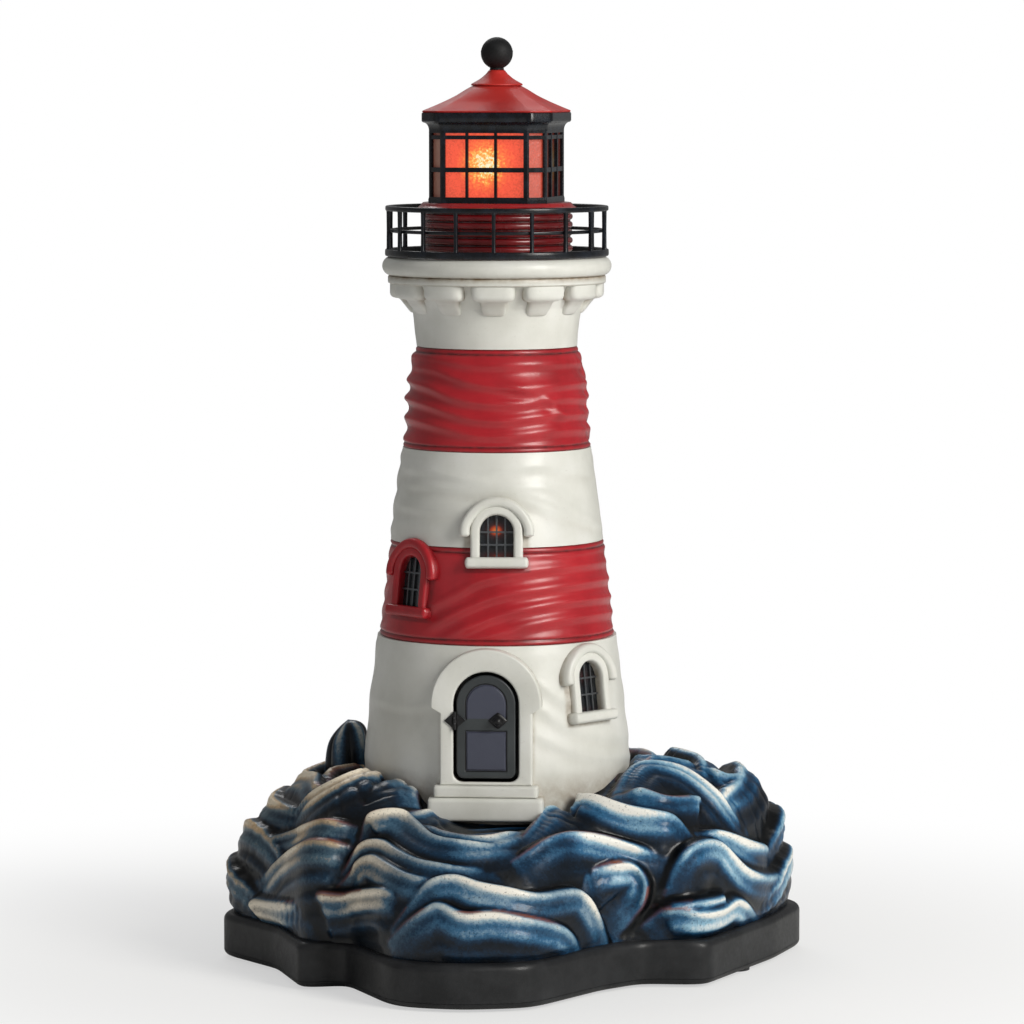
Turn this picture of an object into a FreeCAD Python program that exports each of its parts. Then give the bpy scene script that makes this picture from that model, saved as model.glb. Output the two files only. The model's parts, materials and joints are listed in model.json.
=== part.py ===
import FreeCAD, Part
import math
import os

# A garden lighthouse ornament that stands on a table or a step.
# Millimetres, +Z up. The script works about the tower's axis: x to the right and -y to the
# front. At the end every piece is shifted so that the origin is the middle of the base's
# box, on the surface that the rubber feet stand on.

V = FreeCAD.Vector
AXIS = V(0, 0, 1)
ORIGIN = V(0, 0, 0)

# ---------------------------------------------------------------- driving dimensions
FIT = 0.3                       # gap between pieces that move or are dropped in
REVEAL = 1.3                    # gap round the door leaf

# base plate
PLINTH_LOW = 1.0
PLINTH_TOP = 18.0
# corners of the lobed plan (x, y, corner radius), clockwise seen from above, from the left
PLINTH_PLAN = [
    (-109, 0, 12), (-86, -33, 24), (-74, -74, 3), (-59, -65, 7), (-38, -111, 20),
    (-13, -117, 30), (13, -113, 18), (40, -78, 12), (56, -64, 12), (80, -66, 3),
    (109, -10, 30), (122, 25, 12), (99, 62, 18), (77, 66, 6), (58, 104, 20),
    (14, 117, 30), (-30, 110, 20), (-52, 76, 9), (-80, 74, 5), (-97, 38, 26),
]
CAVITY = (118, 108)             # hollow under the mound, x and y
CAVITY_CORNER = 12.0
COVER_LIP = 3.0                 # how far the cover's recess is wider than the hollow
COVER_THICK = 2.0
COVER_INSET = 0.2               # the cover lies this far above the plinth's underside
BOSS_RADIUS = 5.5
BOSS_INSET = 6.5                # from the hollow's walls
FOOT_RADIUS = 6.0
FOOT_POCKET = 0.8
FOOT_POINTS = [(-11, -96), (-84, -12), (92, -26), (96, 30), (6, 98), (-80, 52)]

# rock mound
MOUND_HEIGHT = 48.0
MOUND_INSET = 4.0               # from the plinth's edge, at the mound's foot
MOUND_SHOULDER = 9.8            # flat of the mound's top, round the tower
MOUND_SECTIONS = 6
MOUND_RAYS = 40
MOUND_SPREAD = 0.97             # 1 would end the rounded shoulder level with the top
TALL_ROCK = (-60, 20, 8.5)      # x, y and radius of the tall rock beside the tower
TALL_ROCK_RISE = 24.0           # above the mound
TALL_ROCK_SOCKET = 12.0         # how deep it is let into the mound
SEAT_DEPTH = 14.0               # how far the tower stands in the mound
LEDGE = 4.0                     # of the mound, under the tower's foot
LEDGE_HOLE = 32.0
MOUND_HOLLOW_RADIUS = 54.0

# screws
SCREW_HEAD = 2.8
SCREW_SHANK = 1.25
SCREW_LENGTH = 8.0
BIG_HEAD = 4.0
BIG_SHANK = 2.0
MOUND_SCREW_BITE = 11.0

# battery pack: three AA cells side by side
CELL_RADIUS = 7.1
CELL_LENGTH = 49.2
CELL_NUB = (2.7, 1.3)           # radius and length
CELL_GAP = 0.8
CELL_PLAY = 0.4                 # above and below the cells
CELL_COUNT = 3
SPRING_ROOM = 5.0
SPRING_COIL = 3.0
SPRING_WIRE = 0.32
SPRING_TURNS = 4
CONTACT_THICK = 0.4
CONTACT_EDGE = 1.0
BOX_WALL = 1.6
BOX_FLANGE = 4.0
HINGE_PIN_SMALL = 0.6
HINGE_PIN_PLAY = 0.15
HINGE_PIN_REACH = 1.5
FINGER_NOTCH = 6.0

# switch
SWITCH_BODY = (9, 13, 7)
SWITCH_TRAVEL = 3.0
KNOB = (2.6, 3.0)
KNOB_DROP = 0.4                 # below the plinth's underside
KNOB_PLATE = (4.4, 4.6)
KNOB_PLATE_TOP = 1.6
KNOB_ROOM = 2.2
SWITCH_REACH = 46.0             # from the middle of the base, towards +x

# tower: heights of the stacked shells, from the seat in the mound
WALL = 3.0
FLOOR = 3.0
FOOT_HEIGHT = 76.2
RED_LOWER_HEIGHT = 37.3
WHITE_HEIGHT = 35.9
RED_UPPER_HEIGHT = 39.3
NECK_HEIGHT = 24.3
MOUND_TOP = PLINTH_TOP + MOUND_HEIGHT
SEAT = MOUND_TOP - SEAT_DEPTH
FOOT_JOINT = SEAT + FOOT_HEIGHT
RED_JOINT = FOOT_JOINT + RED_LOWER_HEIGHT
WHITE_JOINT = RED_JOINT + WHITE_HEIGHT
NECK_JOINT = WHITE_JOINT + RED_UPPER_HEIGHT
DECK_LOW = NECK_JOINT + NECK_HEIGHT
# (radius, height) of the outside, joint by joint
FOOT_RADIUS_WIDEST = 51.9
FOOT_PROFILE = [(50.6, SEAT), (51.4, SEAT + 14), (FOOT_RADIUS_WIDEST, SEAT + 28), (49.6, SEAT + 52),
                (46.6, FOOT_JOINT)]
RED_LOWER_PROFILE = [(45.9, FOOT_JOINT), (44.2, FOOT_JOINT + 13.8), (41.5, RED_JOINT)]
WHITE_PROFILE = [(41.4, RED_JOINT), (39.2, RED_JOINT + 16.5), (36.6, WHITE_JOINT)]
RED_UPPER_PROFILE = [(36.7, WHITE_JOINT), (35.6, WHITE_JOINT + 10.6), (34.4, NECK_JOINT - 13.3),
                     (32.9, NECK_JOINT - 5.7), (31.3, NECK_JOINT)]
NECK_PROFILE = [(31.2, NECK_JOINT), (32.3, NECK_JOINT + 10.3), (33.2, NECK_JOINT + 15.3),
                (35.6, DECK_LOW - 4), (37.8, DECK_LOW)]

# tie that clamps the tower between the mound and the lamp plate
TUBE_RADIUS = 5.0
TUBE_WALL = 1.4
TUBE_TAIL = 1.5
TUBE_HEAD = 3.5                 # above the upper nut
NUT_WALL = 3.5                  # from the tube to the flats
NUT_HEIGHT = 6.0
PLATE = 1.5
TIE_PLATE_LAP = 8.0             # under the mound's ledge

# gallery
DECK_RADIUS = 44.4
DECK_THICK = 10.5
FASCIA_INSET = 2.2
FASCIA_HEIGHT = 3.0
LAMP_LEDGE = 5.0                # the lamp plate's seat above the deck's underside
LAMP_LEDGE_WIDTH = 3.5
RAIL_INSET = 2.1                # of the railing's line from the deck's edge
RAIL_HEIGHT = 19.5
RAIL_POSTS = 18
RAIL_TURN = -1.5
POST_RADIUS = 0.8
BASE_RING = (2.2, 2.8)          # width and height
TOP_RAIL = (2.0, 2.0)
MID_RAIL = 0.7
MID_RAIL_RISE = 9.9
DECK_TOP = DECK_LOW + DECK_THICK
FASCIA_RADIUS = DECK_RADIUS - FASCIA_INSET
RAIL_RADIUS = DECK_RADIUS - RAIL_INSET
RAIL_TOP = DECK_TOP + RAIL_HEIGHT
MID_RAIL_HEIGHT = DECK_TOP + MID_RAIL_RISE
LAMP_PLATE_LOW = DECK_LOW + LAMP_LEDGE

# corbels: a block under the deck on a narrower stem
CORBELS = 12
CORBEL_TURN = -2.0
CORBEL_INSET = 0.6              # from the deck's fascia
CORBEL_HEIGHT = 5.8
CORBEL_ANGLE = 25.0
CORBEL_CHAMFER = (1.0, 1.4)     # width and height
STEM_ANGLE = 16.5
STEM_HEIGHT = 5.7
STEM_RISE = [(2.2, 0.0), (3.7, 3.3), (6.2, STEM_HEIGHT)]    # out from the neck, height on the stem
CORBEL_OUT = FASCIA_RADIUS - CORBEL_INSET
CORBEL_LOW = DECK_LOW - CORBEL_HEIGHT
STEM_LOW = CORBEL_LOW - STEM_HEIGHT

# lantern: an eight-sided frame, wide and narrow faces in turn
WIDE_HALF = 36.0
LANTERN_TURN = -12.0
MULLION_SHARES = (0.29, 0.635)   # the hand-set mullions stand a little off the thirds
LANTERN_RADIUS = 28.6            # to the frame's corners
FRAME_THICK = 1.6
SHEET_THICK = 1.2                # of the panes
DRUM_HEIGHT = 18.3
DRUM_INSET = 0.4
DRUM_WALL = 3.0
RIBS = 5
RIB_SHARE = 0.4                  # of the ribs' pitch
FLARE_HEIGHT = 2.5
FLARE_STEPS = [(2.0, 0.0), (2.0, 0.6), (1.0, 1.2), (0.7, 1.8), (0.1, FLARE_HEIGHT)]
SILL_HEIGHT = 2.3
SILL_STEPS = [(0.3, 0.0), (0.3, 1.3), (0.0, SILL_HEIGHT)]
GLAZED_HEIGHT = 24.6
BAR_LOW_RISE = (9.6, 11.4)       # above the sill
BAR_HIGH_DROP = (2.4, 0.9)       # below the head
BAR_INSET = 0.2
HEAD_THICK = 0.8
HEAD_RIM = 8.1                   # of the head, from the frame's corners to its bore
CORNER_POST = 1.1
MULLION = 1.1
DRUM_RADIUS = LANTERN_RADIUS - DRUM_INSET
FRAME_INNER = LANTERN_RADIUS - FRAME_THICK
PANE_INNER = FRAME_INNER - SHEET_THICK
HEAD_BORE = LANTERN_RADIUS - HEAD_RIM
LAMP_PLATE_RADIUS = DRUM_RADIUS - DRUM_WALL - 0.7
LEDGE_BORE = LAMP_PLATE_RADIUS - LAMP_LEDGE_WIDTH
DRUM_TOP = DECK_TOP + DRUM_HEIGHT
FLARE_TOP = DRUM_TOP + FLARE_HEIGHT
SILL_TOP = FLARE_TOP + SILL_HEIGHT
HEAD_LOW = SILL_TOP + GLAZED_HEIGHT
HEAD_TOP = HEAD_LOW + HEAD_THICK
BAR_LOW = (SILL_TOP + BAR_LOW_RISE[0], SILL_TOP + BAR_LOW_RISE[1])
BAR_HIGH = (HEAD_LOW - BAR_HIGH_DROP[0], HEAD_LOW - BAR_HIGH_DROP[1])

# lamp: a miniature screw lamp
HOLDER_WALL = 2.6
HOLDER_HEIGHT = 12.5
HOLDER_FLOOR = (2.5, 3.5)        # the floor's two faces, above the tube
HOLDER_SEAT = 0.6                # the holder's lip on top of the tube
GLOW_HOLE = 4.0
GLOW_HOLES = 6
CAP_RADIUS = 4.7
CAP_PLAY = 0.2
CAP_LENGTH = 11.0
CAP_WALL = 0.5
CAP_TIP_CONTACT = (1.8, 1.0, 2.0)    # radius, height, and where the cap is full width
CAP_FLOOR = 3.0
GLASS_RADIUS = 7.0
GLASS_WALL = 0.6
GLASS_NECK_INSET = 1.2
GLASS_STEPS = 14
FILAMENT_RISE = 12.4             # above the lantern's sill
FILAMENT_HALF = 2.4
WIRE_RADIUS = 0.25
LEAD_RADIUS = 1.2
FILAMENT_HEIGHT = SILL_TOP + FILAMENT_RISE

# roof
SPIGOT_GAP = 0.6                 # between the roof's spigot and the head's bore
SPIGOT_DEPTH = 3.0
CORNICE_HEIGHT = 7.0
COVE_STEPS = [(0.2, 0.0), (0.8, 1.4), (2.6, 3.3), (3.3, 3.7), (3.3, CORNICE_HEIGHT)]
ROOF_LAP = 0.3                   # the roof's edge inside the cornice's
ROOF_EDGE = 0.5
ROOF_MIDDLE = (11.9, 5.3)        # in from the cornice's edge, and up
ROOF_HEIGHT = 10.3
CAP_EDGE = 10.2
CAP_LAP = 0.6
CAP_STEPS = [(0.0, 0.0), (0.0, 0.6), (3.6, 3.0), (6.9, 6.1)]     # in from the cap's edge, and up
BALL_RADIUS = 6.2
BALL_RISE = 6.4                  # of the ball's middle above the cap
NECK_RADIUS = 2.7
STUD_RADIUS = 1.5
SPIGOT_RADIUS = HEAD_BORE - SPIGOT_GAP
EAVE_RADIUS = LANTERN_RADIUS + COVE_STEPS[-1][0]
EAVE = HEAD_TOP + CORNICE_HEIGHT
CAP_LOW = EAVE + ROOF_HEIGHT
CAP_TOP = CAP_LOW + CAP_STEPS[-1][1]
BALL_HEIGHT = CAP_TOP + BALL_RISE

# door
DOOR_TURN = -4.5
DOOR_PROUD = 0.6                # of the surround, from the tower's widest part
LEAF_WIDTH = 22.5
LEAF_HEIGHT = 39.6
LEAF_RISE = 26.2                # of its foot above the tower's seat
LEAF_THICK = 2.5
LEAF_CORNER = 2.7
LEAF_SET_BACK = 0.6
PANEL_LINE = (0.8, 0.5)         # width and depth of the engraved panel lines
PANEL_MARGIN = 3.2
PANEL_UPPER = 23.0              # these three above the leaf's foot
PANEL_LOWER = (2.6, 18.4)
HINGE_RISE = 22.3
JAMB_FACE = 5.15
IMPOST = 3.5                    # how far the arch stands out past the jambs
IMPOST_DROP = 1.2
FRAME_DEPTH = 8.3
NICHE_DEPTH = 8.0
NICHE_WALL = 1.8
NICHE_BACK = 1.5
STONE_ROUND = 1.2
HINGE_PLATE = (4.0, 3.45)           # half width and half height of the diamond
HINGE_PLATE_THICK = 0.6
KNUCKLE = 0.8
KNUCKLE_HALF = 3.4
KNUCKLE_MID = 1.2
KNUCKLE_GAP = 0.2
HINGE_PIN = 0.4
KNOB_OFFSET = 4.6
KNOB_DIAMOND = (3.7, 3.15)
KNOB_NECK = (0.9, 1.2)
KNOB_RADIUS = 1.6
DOOR_FACE = FOOT_RADIUS_WIDEST + DOOR_PROUD    # of the surround, from the tower's axis
LEAF_LOW = SEAT + LEAF_RISE
LEAF_TOP = LEAF_LOW + LEAF_HEIGHT
HINGE_HEIGHT = LEAF_LOW + HINGE_RISE
JAMB_HALF = LEAF_WIDTH / 2 + REVEAL + JAMB_FACE
ARCH_RADIUS = JAMB_HALF + IMPOST
ARCH_CENTRE = LEAF_TOP - LEAF_WIDTH / 2 + 0.05
# half width, reach from the axis, low, top
SILL = (JAMB_HALF + 2.5, DOOR_FACE + 2.1, LEAF_LOW - 7.2, LEAF_LOW - 2.6)
STEP = (JAMB_HALF + 4.6, DOOR_FACE + 4.1, SILL[2] - 9.0, SILL[2])

# windows: turn about the tower, opening's low and top height
OPENING_HALF = 6.55
WINDOWS = {
    "front": (0.0, RED_JOINT - 3.6, RED_JOINT + 12.7),
    "left": (-50.0, FOOT_JOINT + 13.7, FOOT_JOINT + 33.0),
    "right": (46.5, FOOT_JOINT - 26.3, FOOT_JOINT - 7.0),
}
PLUG_WALL = 1.8
JAMB_WIDTH = 4.0
HOOD_STEP = 2.85                # of the hood's inside past the opening
HOOD_WIDTH = 4.0
WINDOW_SILL = (5.35, 4.2)       # past the opening, and height
JAMB_PROUD = 1.6
HOOD_PROUD = 2.6
SILL_PROUD = 3.2
FLANGE_BACK = 2.6
PLUG_BACK = 4.6
PANE_THICK = 1.0
PANE_SET_BACK = 2.2
GLAZING_BAR = 0.7


# ---------------------------------------------------------------- helpers
def disc(radius, low, top, x=0.0, y=0.0):
    return Part.makeCylinder(radius, top - low, V(x, y, low))


def ring(inner, outer, low, top):
    return disc(outer, low, top).cut(disc(inner, low - 1, top + 1))


def block(x0, x1, y0, y1, z0, z1):
    return Part.makeBox(x1 - x0, y1 - y0, z1 - z0, V(x0, y0, z0))


def revolved(profile, turn=360.0):
    """Turn a closed (radius, height) outline about the tower's axis."""
    points = [V(r, 0, z) for r, z in profile]
    face = Part.Face(Part.makePolygon(points + points[:1]))
    return face.revolve(ORIGIN, AXIS, turn)


def turned(shape, angle):
    shape = shape.copy()
    shape.rotate(ORIGIN, AXIS, angle)
    return shape


def rounded_outline(corners, height):
    """A closed wire through corners (x, y, radius), each rounded by a tangent arc."""
    edges = []
    starts = []
    ends = []
    middles = []
    count = len(corners)
    for i in range(count):
        x, y, radius = corners[i]
        here = V(x, y, height)
        before = V(corners[i - 1][0], corners[i - 1][1], height) - here
        after = V(corners[(i + 1) % count][0], corners[(i + 1) % count][1], height) - here
        half = before.getAngle(after) / 2
        room = 0.48 * min(before.Length, after.Length)
        tangent = min(radius / math.tan(half), room)
        radius = tangent * math.tan(half)
        before.normalize()
        after.normalize()
        inward = before + after
        inward.normalize()
        starts.append(here + before * tangent)
        ends.append(here + after * tangent)
        middles.append(here + inward * (radius / math.sin(half) - radius))
    for i in range(count):
        edges.append(Part.Arc(starts[i], middles[i], ends[i]).toShape())
        edges.append(Part.LineSegment(ends[i], starts[(i + 1) % count]).toShape())
    return Part.Wire(edges)


def rounded_box(size, corner, centre, low, top):
    half_x = size[0] / 2
    half_y = size[1] / 2
    corners = []
    for sx, sy in ((-1, -1), (1, -1), (1, 1), (-1, 1)):
        corners.append((centre.x + sx * half_x, centre.y + sy * half_y, corner))
    return Part.Face(rounded_outline(corners, low)).extrude(V(0, 0, top - low))


def shell_of(profile):
    """A tower shell: the outer profile and the same one a wall further in."""
    inner = [(r - WALL, z) for r, z in reversed(profile)]
    return revolved(profile + inner)


def arch_prism(half, low, spring, front, back, corner=0.0):
    """An upright opening with a round head, standing across y from front to back."""
    if corner > 0:
        k = corner * (1 - math.sqrt(0.5))
        bottom = [
            Part.Arc(V(-half, front, low + corner), V(-half + k, front, low + k),
                     V(-half + corner, front, low)).toShape(),
            Part.LineSegment(V(-half + corner, front, low), V(half - corner, front, low)).toShape(),
            Part.Arc(V(half - corner, front, low), V(half - k, front, low + k),
                     V(half, front, low + corner)).toShape(),
        ]
    else:
        bottom = [Part.LineSegment(V(-half, front, low), V(half, front, low)).toShape()]
    right = Part.LineSegment(V(half, front, low + corner), V(half, front, spring)).toShape()
    head = Part.Arc(V(half, front, spring), V(0, front, spring + half),
                    V(-half, front, spring)).toShape()
    left = Part.LineSegment(V(-half, front, spring), V(-half, front, low + corner)).toShape()
    wire = Part.Wire(bottom + [right, head, left])
    return Part.Face(wire).extrude(V(0, back - front, 0))


def diamond(half_width, half_height, x, z, front, back):
    corners = [V(x - half_width, front, z), V(x, front, z - half_height),
               V(x + half_width, front, z), V(x, front, z + half_height)]
    face = Part.Face(Part.makePolygon(corners + corners[:1]))
    return face.extrude(V(0, back - front, 0))


def hex_nut(low, height):
    across = (TUBE_RADIUS + NUT_WALL) / math.cos(math.radians(30))
    corners = [V(across * math.cos(math.radians(60 * i)),
                 across * math.sin(math.radians(60 * i)), low) for i in range(6)]
    body = Part.Face(Part.makePolygon(corners + corners[:1])).extrude(V(0, 0, height))
    return body.cut(disc(TUBE_RADIUS, low - 1, low + height + 1))


def held_lead(route, radius):
    """A round lead along straight runs, each corner taken by as large an arc as fits."""
    edges = []
    last = route[0]
    for i in range(1, len(route) - 1):
        before = route[i - 1] - route[i]
        after = route[i + 1] - route[i]
        turn = math.pi - before.getAngle(after)
        tangent = 0.45 * min(before.Length, after.Length)
        bend = tangent / math.tan(turn / 2)
        before.normalize()
        after.normalize()
        inward = before + after
        inward.normalize()
        start = route[i] + before * tangent
        end = route[i] + after * tangent
        middle = route[i] + inward * (bend / math.cos(turn / 2) - bend)
        edges.append(Part.LineSegment(last, start).toShape())
        edges.append(Part.Arc(start, middle, end).toShape())
        print("lead bend radius", round(bend, 1))
        last = end
    edges.append(Part.LineSegment(last, route[-1]).toShape())
    path = Part.Wire(edges)
    profile = Part.Wire(Part.makeCircle(radius, route[0], route[1] - route[0]))
    lead = path.makePipeShell([profile], True, False)
    expected = math.pi * radius ** 2 * path.Length
    print("lead length", round(path.Length, 1), "volume share", round(lead.Volume / expected, 4))
    return lead


pieces = {}


# ---------------------------------------------------------------- base plate
plan = Part.Face(rounded_outline(PLINTH_PLAN, PLINTH_LOW))
plan_box = plan.BoundBox
middle = V((plan_box.XMin + plan_box.XMax) / 2, (plan_box.YMin + plan_box.YMax) / 2, 0)
cover_top = PLINTH_LOW + COVER_INSET + COVER_THICK
lip_size = (CAVITY[0] + 2 * COVER_LIP, CAVITY[1] + 2 * COVER_LIP)
boss_points = [(middle.x + sx * (CAVITY[0] / 2 - BOSS_INSET),
                middle.y + sy * (CAVITY[1] / 2 - BOSS_INSET))
               for sx in (-1, 1) for sy in (-1, 1)]
mound_screw_points = [(middle.x + sx * (CAVITY[0] / 2 + 3 * BIG_HEAD), middle.y + sy * CAVITY[1] / 4)
                      for sx in (-1, 1) for sy in (-1, 1)]
head_low = PLINTH_LOW + COVER_INSET
head_top = head_low + COVER_THICK / 2
big_head_low = PLINTH_LOW + BIG_HEAD
big_head_top = big_head_low + BIG_SHANK


def make_plinth():
    body = plan.extrude(V(0, 0, PLINTH_TOP - PLINTH_LOW))
    rim = [edge for edge in body.Edges
           if edge.BoundBox.ZMin > PLINTH_TOP - 0.01 and edge.BoundBox.ZMax < PLINTH_TOP + 0.01]
    body = body.makeFillet(1.0, rim)
    hollow = rounded_box(CAVITY, CAVITY_CORNER, middle, PLINTH_LOW - 1, PLINTH_TOP + 1)
    body = body.cut(hollow)
    body = body.cut(rounded_box(lip_size, CAVITY_CORNER, middle, PLINTH_LOW - 1, cover_top))
    for x, y in boss_points:
        boss = disc(BOSS_RADIUS, cover_top, PLINTH_TOP, x, y)
        body = body.fuse(boss.common(hollow))
    for x, y in boss_points:
        body = body.cut(disc(SCREW_SHANK, cover_top - 1, head_top + SCREW_LENGTH, x, y))
    for x, y in mound_screw_points:
        body = body.cut(disc(BIG_HEAD + FIT, PLINTH_LOW - 1, big_head_top, x, y))
        body = body.cut(disc(BIG_SHANK, PLINTH_LOW, PLINTH_TOP + 1, x, y))
    for x, y in FOOT_POINTS:
        body = body.cut(disc(FOOT_RADIUS, PLINTH_LOW - 1, PLINTH_LOW + FOOT_POCKET, x, y))
    return body.removeSplitter()


pieces["base_plinth"] = make_plinth()
pieces["rubber_feet"] = Part.makeCompound(
    [disc(FOOT_RADIUS, 0, PLINTH_LOW + FOOT_POCKET, x, y) for x, y in FOOT_POINTS])
pieces["mound_screws"] = Part.makeCompound(
    [disc(BIG_HEAD, big_head_low, big_head_top, x, y).fuse(
        disc(BIG_SHANK, big_head_top, PLINTH_TOP + MOUND_SCREW_BITE, x, y)).removeSplitter()
     for x, y in mound_screw_points])
pieces["bottom_cover_screws"] = Part.makeCompound(
    [disc(SCREW_HEAD, head_low, head_top, x, y).fuse(
        disc(SCREW_SHANK, head_top, head_top + SCREW_LENGTH, x, y)).removeSplitter()
     for x, y in boss_points])

# ---------------------------------------------------------------- battery pack and switch
tray_x = CELL_LENGTH + CELL_NUB[1] + SPRING_ROOM + 2 * CONTACT_THICK
cell_pitch = 2 * CELL_RADIUS + CELL_GAP
tray_y = CELL_COUNT * cell_pitch + 1.0
cell_axis = cover_top + CELL_PLAY + CELL_RADIUS
tray_top = cell_axis + CELL_RADIUS + CELL_PLAY
tray_left = middle.x - tray_x / 2
tray_right = middle.x + tray_x / 2
door_x = tray_x - 2 * FIT
door_y = tray_y - 2 * FIT
pin_height = cover_top - COVER_THICK / 2
pin_y = middle.y - door_y / 2 + COVER_THICK / 2
cell_rows = [middle.y + (i - (CELL_COUNT - 1) / 2) * cell_pitch for i in range(CELL_COUNT)]
switch_x = middle.x + SWITCH_REACH
knob_y = middle.y - SWITCH_TRAVEL / 2


def along_x(radius, x0, x1, y, z):
    return Part.makeCylinder(radius, x1 - x0, V(x0, y, z), V(1, 0, 0))


def make_bottom_cover():
    size = (lip_size[0] - 2 * FIT, lip_size[1] - 2 * FIT)
    body = rounded_box(size, CAVITY_CORNER, middle, head_low, cover_top)
    body = body.cut(block(tray_left, tray_right, middle.y - tray_y / 2, middle.y + tray_y / 2,
                          head_low - 1, cover_top + 1))
    body = body.cut(along_x(HINGE_PIN_SMALL + HINGE_PIN_PLAY, tray_left - HINGE_PIN_REACH - FIT,
                            tray_right + HINGE_PIN_REACH + FIT, pin_y, pin_height))
    slot_x = KNOB[0] / 2 + FIT
    slot_y = (KNOB[1] + SWITCH_TRAVEL) / 2 + FIT
    body = body.cut(block(switch_x - slot_x, switch_x + slot_x, middle.y - slot_y,
                          middle.y + slot_y, head_low - 1, cover_top + 1))
    for x, y in boss_points:
        body = body.cut(disc(SCREW_SHANK + FIT, head_low - 1, cover_top + 1, x, y))
        body = body.cut(disc(SCREW_HEAD + FIT, head_low - 1, head_top, x, y))
    return body


def make_battery_cover():
    plate = block(middle.x - door_x / 2, middle.x + door_x / 2, pin_y, middle.y + door_y / 2,
                  head_low, cover_top)
    roll = along_x(COVER_THICK / 2, middle.x - door_x / 2, middle.x + door_x / 2, pin_y, pin_height)
    pin = along_x(HINGE_PIN_SMALL, tray_left - HINGE_PIN_REACH, tray_right + HINGE_PIN_REACH, pin_y,
                  pin_height)
    notch = disc(FINGER_NOTCH, head_low - 1, head_top, middle.x, middle.y + (door_y + FINGER_NOTCH) / 2)
    return plate.fuse([roll, pin]).cut(notch).removeSplitter()


def make_battery_box():
    half_y = tray_y / 2
    body = block(tray_left - BOX_WALL, tray_right + BOX_WALL, middle.y - half_y - BOX_WALL,
                 middle.y + half_y + BOX_WALL, cover_top, tray_top + BOX_WALL)
    edge = BOX_WALL + BOX_FLANGE
    flange = block(tray_left - edge, tray_right + edge, middle.y - half_y - edge,
                   middle.y + half_y + edge, cover_top, cover_top + BOX_WALL)
    room = block(tray_left, tray_right, middle.y - half_y, middle.y + half_y,
                 cover_top - 1, tray_top)
    return body.fuse(flange).cut(room).removeSplitter()


def make_cell(y):
    """Every cell points its nub to the right-hand contact strip."""
    left = tray_left + CONTACT_THICK + SPRING_ROOM
    can = along_x(CELL_RADIUS, left, left + CELL_LENGTH, y, cell_axis)
    nub = along_x(CELL_NUB[0], left + CELL_LENGTH, left + CELL_LENGTH + CELL_NUB[1], y, cell_axis)
    return can.fuse(nub).removeSplitter()


def bow(start, control, end):
    """The arc from start to end whose end tangents meet at the control point."""
    centre = (start + end) / 2
    reach = (end - start).Length / 2
    lean = (control - start).getAngle(end - start)
    outward = control - centre
    outward.normalize()
    return Part.Arc(start, centre + outward * (reach * math.tan(lean / 2)), end).toShape()


def biarc(p0, t0, p1, t1):
    """Two tangent arcs from p0 to p1, leaving along t0 and arriving along t1."""
    chord = p1 - p0
    a = 2 * (t0.dot(t1) - 1)
    b = -2 * chord.dot(t0 + t1)
    c = chord.dot(chord)
    reach = (-b - math.sqrt(b * b - 4 * a * c)) / (2 * a)
    control0 = p0 + t0 * reach
    control1 = p1 - t1 * reach
    joint = (control0 + control1) / 2
    return [bow(p0, control0, joint), bow(joint, control1, p1)]


def make_spring(y):
    """One unbroken wire from the contact strip to the cell's flat end, in quarter turns."""
    height = SPRING_ROOM - 2 * SPRING_WIRE
    pitch = height / SPRING_TURNS
    knots = []
    for i in range(4 * SPRING_TURNS + 1):
        a = math.pi / 2 * i
        tangent = V(-SPRING_COIL * math.sin(a), SPRING_COIL * math.cos(a), pitch / (2 * math.pi))
        tangent.normalize()
        knots.append((V(SPRING_COIL * math.cos(a), SPRING_COIL * math.sin(a), pitch * i / 4), tangent))
    edges = []
    for (p0, t0), (p1, t1) in zip(knots, knots[1:]):
        edges += biarc(p0, t0, p1, t1)
    profile = Part.Wire(Part.makeCircle(SPRING_WIRE, knots[0][0], knots[0][1]))
    spring = Part.Wire(edges).makePipeShell([profile], True)
    spring.rotate(ORIGIN, V(0, 1, 0), 90)
    spring.translate(V(tray_left + CONTACT_THICK + SPRING_WIRE, y, cell_axis))
    print("spring gap to itself", round(pitch - 2 * SPRING_WIRE, 2))
    return spring


def make_contacts():
    reach = cell_pitch * (CELL_COUNT - 1) / 2 + CELL_RADIUS - CONTACT_EDGE
    low = cell_axis - SPRING_COIL - CONTACT_EDGE
    top = cell_axis + SPRING_COIL + CONTACT_EDGE
    strips = []
    for x in (tray_left, tray_right - CONTACT_THICK):
        strips.append(block(x, x + CONTACT_THICK, middle.y - reach, middle.y + reach, low, top))
    return Part.makeCompound(strips)


def make_switch_body():
    sx, sy, sz = SWITCH_BODY
    body = block(switch_x - sx / 2, switch_x + sx / 2, middle.y - sy / 2, middle.y + sy / 2,
                 cover_top, cover_top + sz)
    half_x = KNOB_PLATE[0] / 2 + FIT
    half_y = (KNOB_PLATE[1] + SWITCH_TRAVEL) / 2 + FIT
    return body.cut(block(switch_x - half_x, switch_x + half_x, middle.y - half_y,
                          middle.y + half_y, cover_top - 1, cover_top + KNOB_ROOM))


def make_switch_slider():
    knob = block(switch_x - KNOB[0] / 2, switch_x + KNOB[0] / 2, knob_y - KNOB[1] / 2,
                 knob_y + KNOB[1] / 2, PLINTH_LOW - KNOB_DROP, cover_top + FIT)
    plate = block(switch_x - KNOB_PLATE[0] / 2, switch_x + KNOB_PLATE[0] / 2,
                  knob_y - KNOB_PLATE[1] / 2, knob_y + KNOB_PLATE[1] / 2,
                  cover_top + FIT, cover_top + KNOB_PLATE_TOP)
    return knob.fuse(plate).removeSplitter()


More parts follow.
